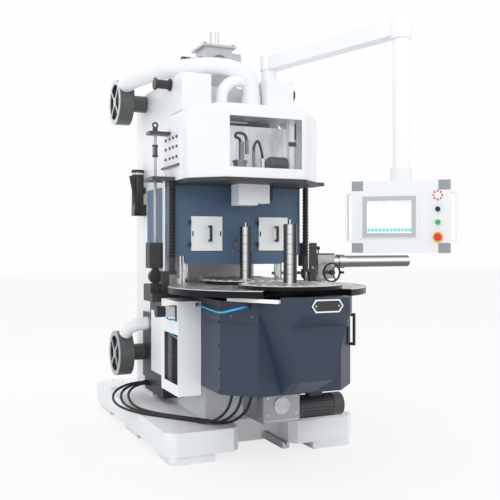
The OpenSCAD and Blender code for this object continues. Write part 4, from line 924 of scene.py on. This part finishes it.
class GRINDER_OT_bellows(bpy.types.Operator):
    """Ribbed rubber sleeves round the guides"""

    bl_idname = "grinder.bellows"
    bl_label = "Guide bellows"

    def execute(self, context):
        low, high = BELLOWS_Z
        pitch = (high - low) / BELLOWS_RIBS
        profile = [(BELLOWS_R[0], low)]
        for i in range(BELLOWS_RIBS):
            profile += [(BELLOWS_R[1], low + i * pitch), (BELLOWS_R[2], low + (i + 0.5) * pitch)]
        profile += [(BELLOWS_R[1], high), (BELLOWS_R[0], high)]
        for side, word in ((-1, "left"), (1, "right")):
            axis = spot(side * GUIDE_X, GUIDE_Y, 0)
            made = Form().spun(axis, [(r / 1000, z / 1000) for r, z in profile]).make(
                "bellows_sleeve_" + word, "black_rubber", "machine", "black_rubber", smooth=True
            )
            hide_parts("bellows_" + word)
            tuple(spot(side * GUIDE_X, GUIDE_Y, low))
            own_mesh(made)
        return {"FINISHED"}


class GRINDER_OT_loading_rings(bpy.types.Operator):
    """Bright rims of the loading holes"""

    bl_idname = "grinder.loading_rings"
    bl_label = "Loading holes"

    def execute(self, context):
        count = context.scene.grinder_details.holes
        circle, high, hole, lip = 262, 1064.8, 0.0148, 0.0016
        for word, y in (("a", DISC_REACH), ("b", -DISC_REACH)):
            rings = Form()
            for i in range(count):
                turn = 2 * math.pi * i / count
                at = spot(circle * math.cos(turn), y + circle * math.sin(turn), high)
                rings.hoop(at, (0, 0, 1), hole, lip, 20, 6)
            rings.make("hole_rims_" + word, "chrome", "disc_" + word, "steel", smooth=True)
        return {"FINISHED"}


class GRINDER_OT_name_plate(bpy.types.Operator):
    """Pale rim and two pins on the bare name plate, and screws on the housing"""

    bl_idname = "grinder.name_plate"
    bl_label = "Name plate and screws"

    plate_y, plate_z = -744, 968

    def outline(self, shrink):
        """The plate's six corners, drawn in by some millimetres."""
        w, h, cut = 95 - shrink, 35 - shrink, 23.3 - shrink * 0.3
        return [
            spot(x, self.plate_y, self.plate_z + z)
            for x, z in ((-w, 0), (-w + cut, -h), (w - cut, -h), (w, 0), (w - cut, h), (-w + cut, h))
        ]

    def execute(self, context):
        radius = context.scene.grinder_details.screw_radius
        out = Vector((0, -0.0016, 0))
        rim = Form().washer(self.outline(0.5), self.outline(8), out)
        for side in (-1, 1):
            pin = spot(side * 68, self.plate_y, self.plate_z)
            rim.rod(pin, pin + out, 0.004, 16)
        rim.make("name_plate_rim", "panel_white", "machine", "frame_white")

        screws = Form()
        side_x, chamfer, proud = 419, 160, 0.003
        slant = Vector((-1, -1, 0)).normalized() * proud
        for share in (0.3, 0.845):
            at = spot(-side_x + chamfer * share, -285 - chamfer * share, 893)
            screws.rod(at, at + slant, radius, 12)
        for y in (-270, -60, 150):
            for z in (875, 940):
                at = spot(side_x, y, z)
                screws.rod(at, at + Vector((proud, 0, 0)), radius, 12)
        screws.make("housing_screws", "steel_dull", "machine", "dark_metal")
        return {"FINISHED"}


class GRINDER_OT_panel_face(bpy.types.Operator):
    """Screen and its frame, ring of lamps, stop plate and button collars of the operator panel"""

    bl_idname = "grinder.panel_face"
    bl_label = "Operator panel"

    def execute(self, context):
        corners = [(-1, -1), (1, -1), (1, 1), (-1, 1)]

        def loop(w, h):
            return [BEZEL_MID + Vector((i * w, 0, j * h)) for i, j in corners]

        wide, high, rim = 0.124, 0.0915, 0.024
        Form().washer(loop(wide + rim, high + rim), loop(wide, high), Vector((0, -0.003, 0))).make(
            "screen_frame", "screen_rim", "panel_box", "panel_grey", PANEL_PLACE
        )
        lit_screen("screen_glass", (0.78, 0.82, 0.83), (0.16, 0.55, 0.55), wide, high)
        glass = Form().block((-wide, -0.0012, -high), (wide, 0, high))
        glass.make("screen", "screen_glass", "panel_box", "panel_grey",
                   PANEL_PLACE @ Matrix.Translation(BEZEL_MID))

        count = context.scene.grinder_details.lamps
        lamps, ring, radius = Form(), 0.0235, 0.005
        for i in range(count):
            turn = 2 * math.pi * i / count
            at = Vector((CONTROL_X, BEZEL_FACE, CONTROL_Z["lamp"]))
            at += Vector((ring * math.cos(turn), 0, ring * math.sin(turn)))
            lamps.rod(at - Vector((0, 0.003, 0)), at + Vector((0, 0.005, 0)), radius, 12)
        lamps.make("ring_lamps", "signal_red", "panel_box", "stop_red", PANEL_PLACE)
        plate = Form()
        at = Vector((CONTROL_X, PANEL_FACE, CONTROL_Z["stop"]))
        plate.rod(at, at + Vector((0, -0.0018, 0)), 0.029, 32)
        plate.make("stop_plate", "signal_yellow", "panel_box", "panel_grey", PANEL_PLACE, True)
        collars = Form()
        for key in ("start", "selector"):
            at = Vector((CONTROL_X, PANEL_FACE, CONTROL_Z[key]))
            collars.rod(at, at + Vector((0, -0.003, 0)), 0.018, 28)
        collars.make("button_collars", "chrome", "panel_box", "panel_grey", PANEL_PLACE, True)
        return {"FINISHED"}


class GRINDER_OT_head_inside(bpy.types.Operator):
    """Board, post, motor, pump, hoses and sensor behind the head's window"""

    bl_idname = "grinder.head_inside"
    bl_label = "Inside the head"

    def execute(self, context):
        floor = 1694
        # The board glows by its emission: painted light inside the head
        Form().block(spot(-425, 468, floor + 2), spot(425, 474, 2080)).make(
            "inner_board", "glowing_wall", "head", "frame_white"
        )
        Form().block(spot(190, 60, floor), spot(222, 110, 2084)).make(
            "inner_post", "panel_white", "head", "frame_white"
        )
        motor = Form()
        deep, high = 120, 1792
        motor.rod(spot(70, deep, high), spot(190, deep, high), 0.044, 28)
        for i in range(9):
            x = 82 + 12 * i
            motor.rod(spot(x, deep, high), spot(x + 5, deep, high), 0.048, 28)
        motor.block(spot(60, 80, floor), spot(180, 160, 1750))
        motor.make("coolant_motor", "motor_green", "head", "dark_metal", smooth=True)

        # Upright round bars: (x, y), the two heights, radius and number of sides
        socket = (((36, 130), floor, 1812, 0.017, 20), ((36, 130), 1812, 1826, 0.02, 6))
        bars = (
            ((-130, 110), floor, 1790, 0.04, 28), ((-130, 110), 1790, 1806, 0.046, 28),
            ((-120, 110), 1806, 1920, 0.016, 20), ((-80, 118), 1850, 1935, 0.012, 16),
            ((-32, 120), floor, 1868, 0.009, 16),
        )
        fitting, pump = Form(), Form()
        for form, rows in ((fitting, socket), (pump, bars)):
            for place, low, top, radius, sides in rows:
                form.rod(spot(*place, low), spot(*place, top), radius, sides)
        fitting.make("hose_socket", "chrome", "head", "chrome", smooth=True)
        pump.make("coolant_pump", "steel_dull", "head", "steel", smooth=True)
        hoses = Form()
        hoses.tube(smooth_line((
            (-120, 110, 1912), (-138, 106, 1940), (-162, 104, 1950), (-152, 104, 1972), (-112, 106, 1972),
            (-90, 112, 1955), (-80, 118, 1925),
        )), 0.009, 14)
        hoses.tube(smooth_line((
            (-32, 120, 1862), (-29, 122, 1895), (-14, 124, 1926), (2, 126, 1932), (16, 128, 1905),
            (28, 129, 1862), (36, 130, 1815),
        )), 0.0085, 14)
        hoses.make("head_hoses", "black_rubber", "head", "black_rubber", smooth=True)
        boxes = Form()
        boxes.block(spot(180, 52, 1905), spot(232, 60, 1930))
        boxes.block(spot(228, 70, 1950), spot(240, 100, 2050))
        boxes.make("inner_sensor", "matt_black", "head", "black_plastic")
        return {"FINISHED"}


class GRINDER_OT_cabinet_inside(bpy.types.Operator):
    """Lining, valves, rails, clamp and tubes behind the side cabinet's window"""

    bl_idname = "grinder.cabinet_inside"
    bl_label = "Inside the side cabinet"

    def execute(self, context):
        near, far, low, high = 24, 332, 407, 948
        lining = Form().block(spot(-432, near, low), spot(-425.5, far, high))
        lining.block(spot(-554, far - 6, low), spot(-425.5, far, high))
        lining.block(spot(-554, near, low - 1), spot(-426, far, low + 3))
        lining.make("valve_board", "lining_grey", "machine", "plate_dark")
        valves = Form()
        for deep, low, high in ((78, 470, 520), (52, 532, 575), (92, 588, 612), (70, 625, 668), (98, 680, 702)):
            valves.block(spot(-535, 32, low), spot(-440, deep, high))
            valves.rod(spot(-500, deep, (low + high) / 2), spot(-500, deep + 9, (low + high) / 2), 0.01, 16)
        valves.make("valves", "matt_black", "machine", "black_plastic")
        rails = Form()
        for y in (250, 272):
            rails.block(spot(-536, y, 420), spot(-520, y + 9, 900))
        rails.make("valve_rail", "alloy", "machine", "aluminium")
        clamp = Form().block(spot(-567, 39, 838), spot(-561.5, 52, 932)).block(
            spot(-604, 46, 927), spot(-561.5, 53.5, 932))
        clamp.make("regulator_clamp", "matt_black", "machine", "black_plastic")
        tubes = Form()
        for line in (
            ((-546, 206, 772), (-545, 194, 754), (-541, 150, 738), (-535, 98, 732), (-528, 44, 735)),
            ((-615, 62, 866), (-613, 61, 856), (-600, 60, 850), (-580, 60, 848), (-560, 60, 845)),
        ):
            tubes.tube(smooth_line(line), 0.005, 10)
        tubes.make("cabinet_tubes", "tube_blue", "machine", "tube_blue", smooth=True)
        return {"FINISHED"}


class GRINDER_OT_drives(bpy.types.Operator):
    """Fins of the index motor, covers of its gearbox, balance rod nuts, jack bolts and door clips"""

    bl_idname = "grinder.drives"
    bl_label = "Drives and fittings"

    def execute(self, context):
        fins, skin = Form(), 0.067
        deep, high = -150, 315
        count = context.scene.grinder_details.fins
        for i in range(count):
            turn = 2 * math.pi * i / count
            out = Vector((0, math.cos(turn), math.sin(turn)))
            side = Vector((0, -math.sin(turn), math.cos(turn)))
            fins.bar(spot(238, deep, high) + out * skin, (0.1, 0, 0), side * 0.0016, out * 0.0028)
        fins.rod(spot(112, deep, high), spot(126, deep, high), skin + 0.005, 36)
        fins.block(spot(200, -178, 378), spot(290, -122, 396))
        fins.make("index_motor_fins", "bracket_black", "machine", "dark_metal")

        covers, face = Form(), -225
        for z in (300, 400):
            for x in (-100, 84):
                covers.rod(spot(x, face - 4, z), spot(x, face, z), 0.008, 12)
        covers.rod(spot(-10, face - 7, 350), spot(-10, face, 350), 0.05, 32)
        for z in (262, 436):
            covers.block(spot(-118, face - 3, z), spot(101, face, z + 8))
        covers.make("gearbox_covers", "alloy", "machine", "aluminium", smooth=True)

        for side, word in ((-1, "left"), (1, "right")):
            nuts, x = Form(), side * BALANCE_X
            nuts.rod(spot(x, BALANCE_Y, 2010), spot(x, BALANCE_Y, 2034), 0.017, 6)
            nuts.hoop(spot(x, BALANCE_Y, 2052), (0, 1, 0), 0.016, 0.006, 20, 8)
            for z in (1849, 1914):
                nuts.rod(spot(x, BALANCE_Y, z), spot(x, BALANCE_Y, z + 12), 0.019, 6)
            nuts.make("rod_nuts_" + word, "bracket_black", "head", "dark_metal", smooth=True)

        bolts, jack_y, jack_z, pitch = Form(), 890, 2560, 105
        for x in (-pitch, pitch):
            for y in (jack_y - pitch, jack_y + pitch):
                for low, top in ((2420, 2432), (2695, 2705)):
                    bolts.rod(spot(x, y, low), spot(x, y, top), 0.011, 6)
        bolts.rod(spot(0, 764, jack_z), spot(0, 790, jack_z), 0.062, 36)
        bolts.rod(spot(-100, jack_y, jack_z), spot(-116, jack_y, jack_z), 0.068, 36)
        bolts.make("jack_bolts", "steel_dull", "machine", "dark_metal", smooth=True)

        for word, door_x in (("left", -349), ("right", 128)):
            clips = Form()
            for x in (door_x + 14, door_x + 206):
                clips.block(spot(x, 402, 1344), spot(x + 7, 407, 1374))
            clips.make("door_clips_" + word, "matt_black", "door_" + word, "black_plastic")
        return {"FINISHED"}


class GRINDER_PT_panel(bpy.types.Panel):
    """Lists the pieces and their settings in the sidebar"""

    bl_idname = "GRINDER_PT_panel"
    bl_label = "Spring end grinder"
    bl_space_type = "VIEW_3D"
    bl_region_type = "UI"
    bl_category = "Grinder"

    def draw(self, context):
        for group in (context.scene.grinder_paint, context.scene.grinder_details, context.scene.grinder_stage):
            for key in group.__annotations__:
                self.layout.prop(group, key)
        for kind in STEPS:
            self.layout.operator(kind.bl_idname)


SETTINGS = {"grinder_paint": PaintSettings, "grinder_details": DetailSettings, "grinder_stage": StageSettings}
STEPS = (
    GRINDER_OT_stage, GRINDER_OT_paint, GRINDER_OT_cables, GRINDER_OT_ducts, GRINDER_OT_bellows,
    GRINDER_OT_loading_rings, GRINDER_OT_name_plate, GRINDER_OT_panel_face, GRINDER_OT_head_inside,
    GRINDER_OT_cabinet_inside, GRINDER_OT_drives,
)


def register():
    for kind in (*SETTINGS.values(), *STEPS, GRINDER_PT_panel):
        bpy.utils.register_class(kind)
    for name, kind in SETTINGS.items():
        setattr(bpy.types.Scene, name, PointerProperty(type=kind))


def unregister():
    for name in SETTINGS:
        delattr(bpy.types.Scene, name)
    for kind in (GRINDER_PT_panel, *reversed(STEPS), *SETTINGS.values()):
        bpy.utils.unregister_class(kind)


def main():
    register()
    bpy.ops.grinder.stage()
    bpy.ops.grinder.paint()
    bpy.ops.grinder.cables()
    bpy.ops.grinder.ducts()
    bpy.ops.grinder.bellows()
    bpy.ops.grinder.loading_rings()
    bpy.ops.grinder.name_plate()
    bpy.ops.grinder.panel_face()
    bpy.ops.grinder.head_inside()
    bpy.ops.grinder.cabinet_inside()
    bpy.ops.grinder.drives()


if __name__ == "__main__":
    main()
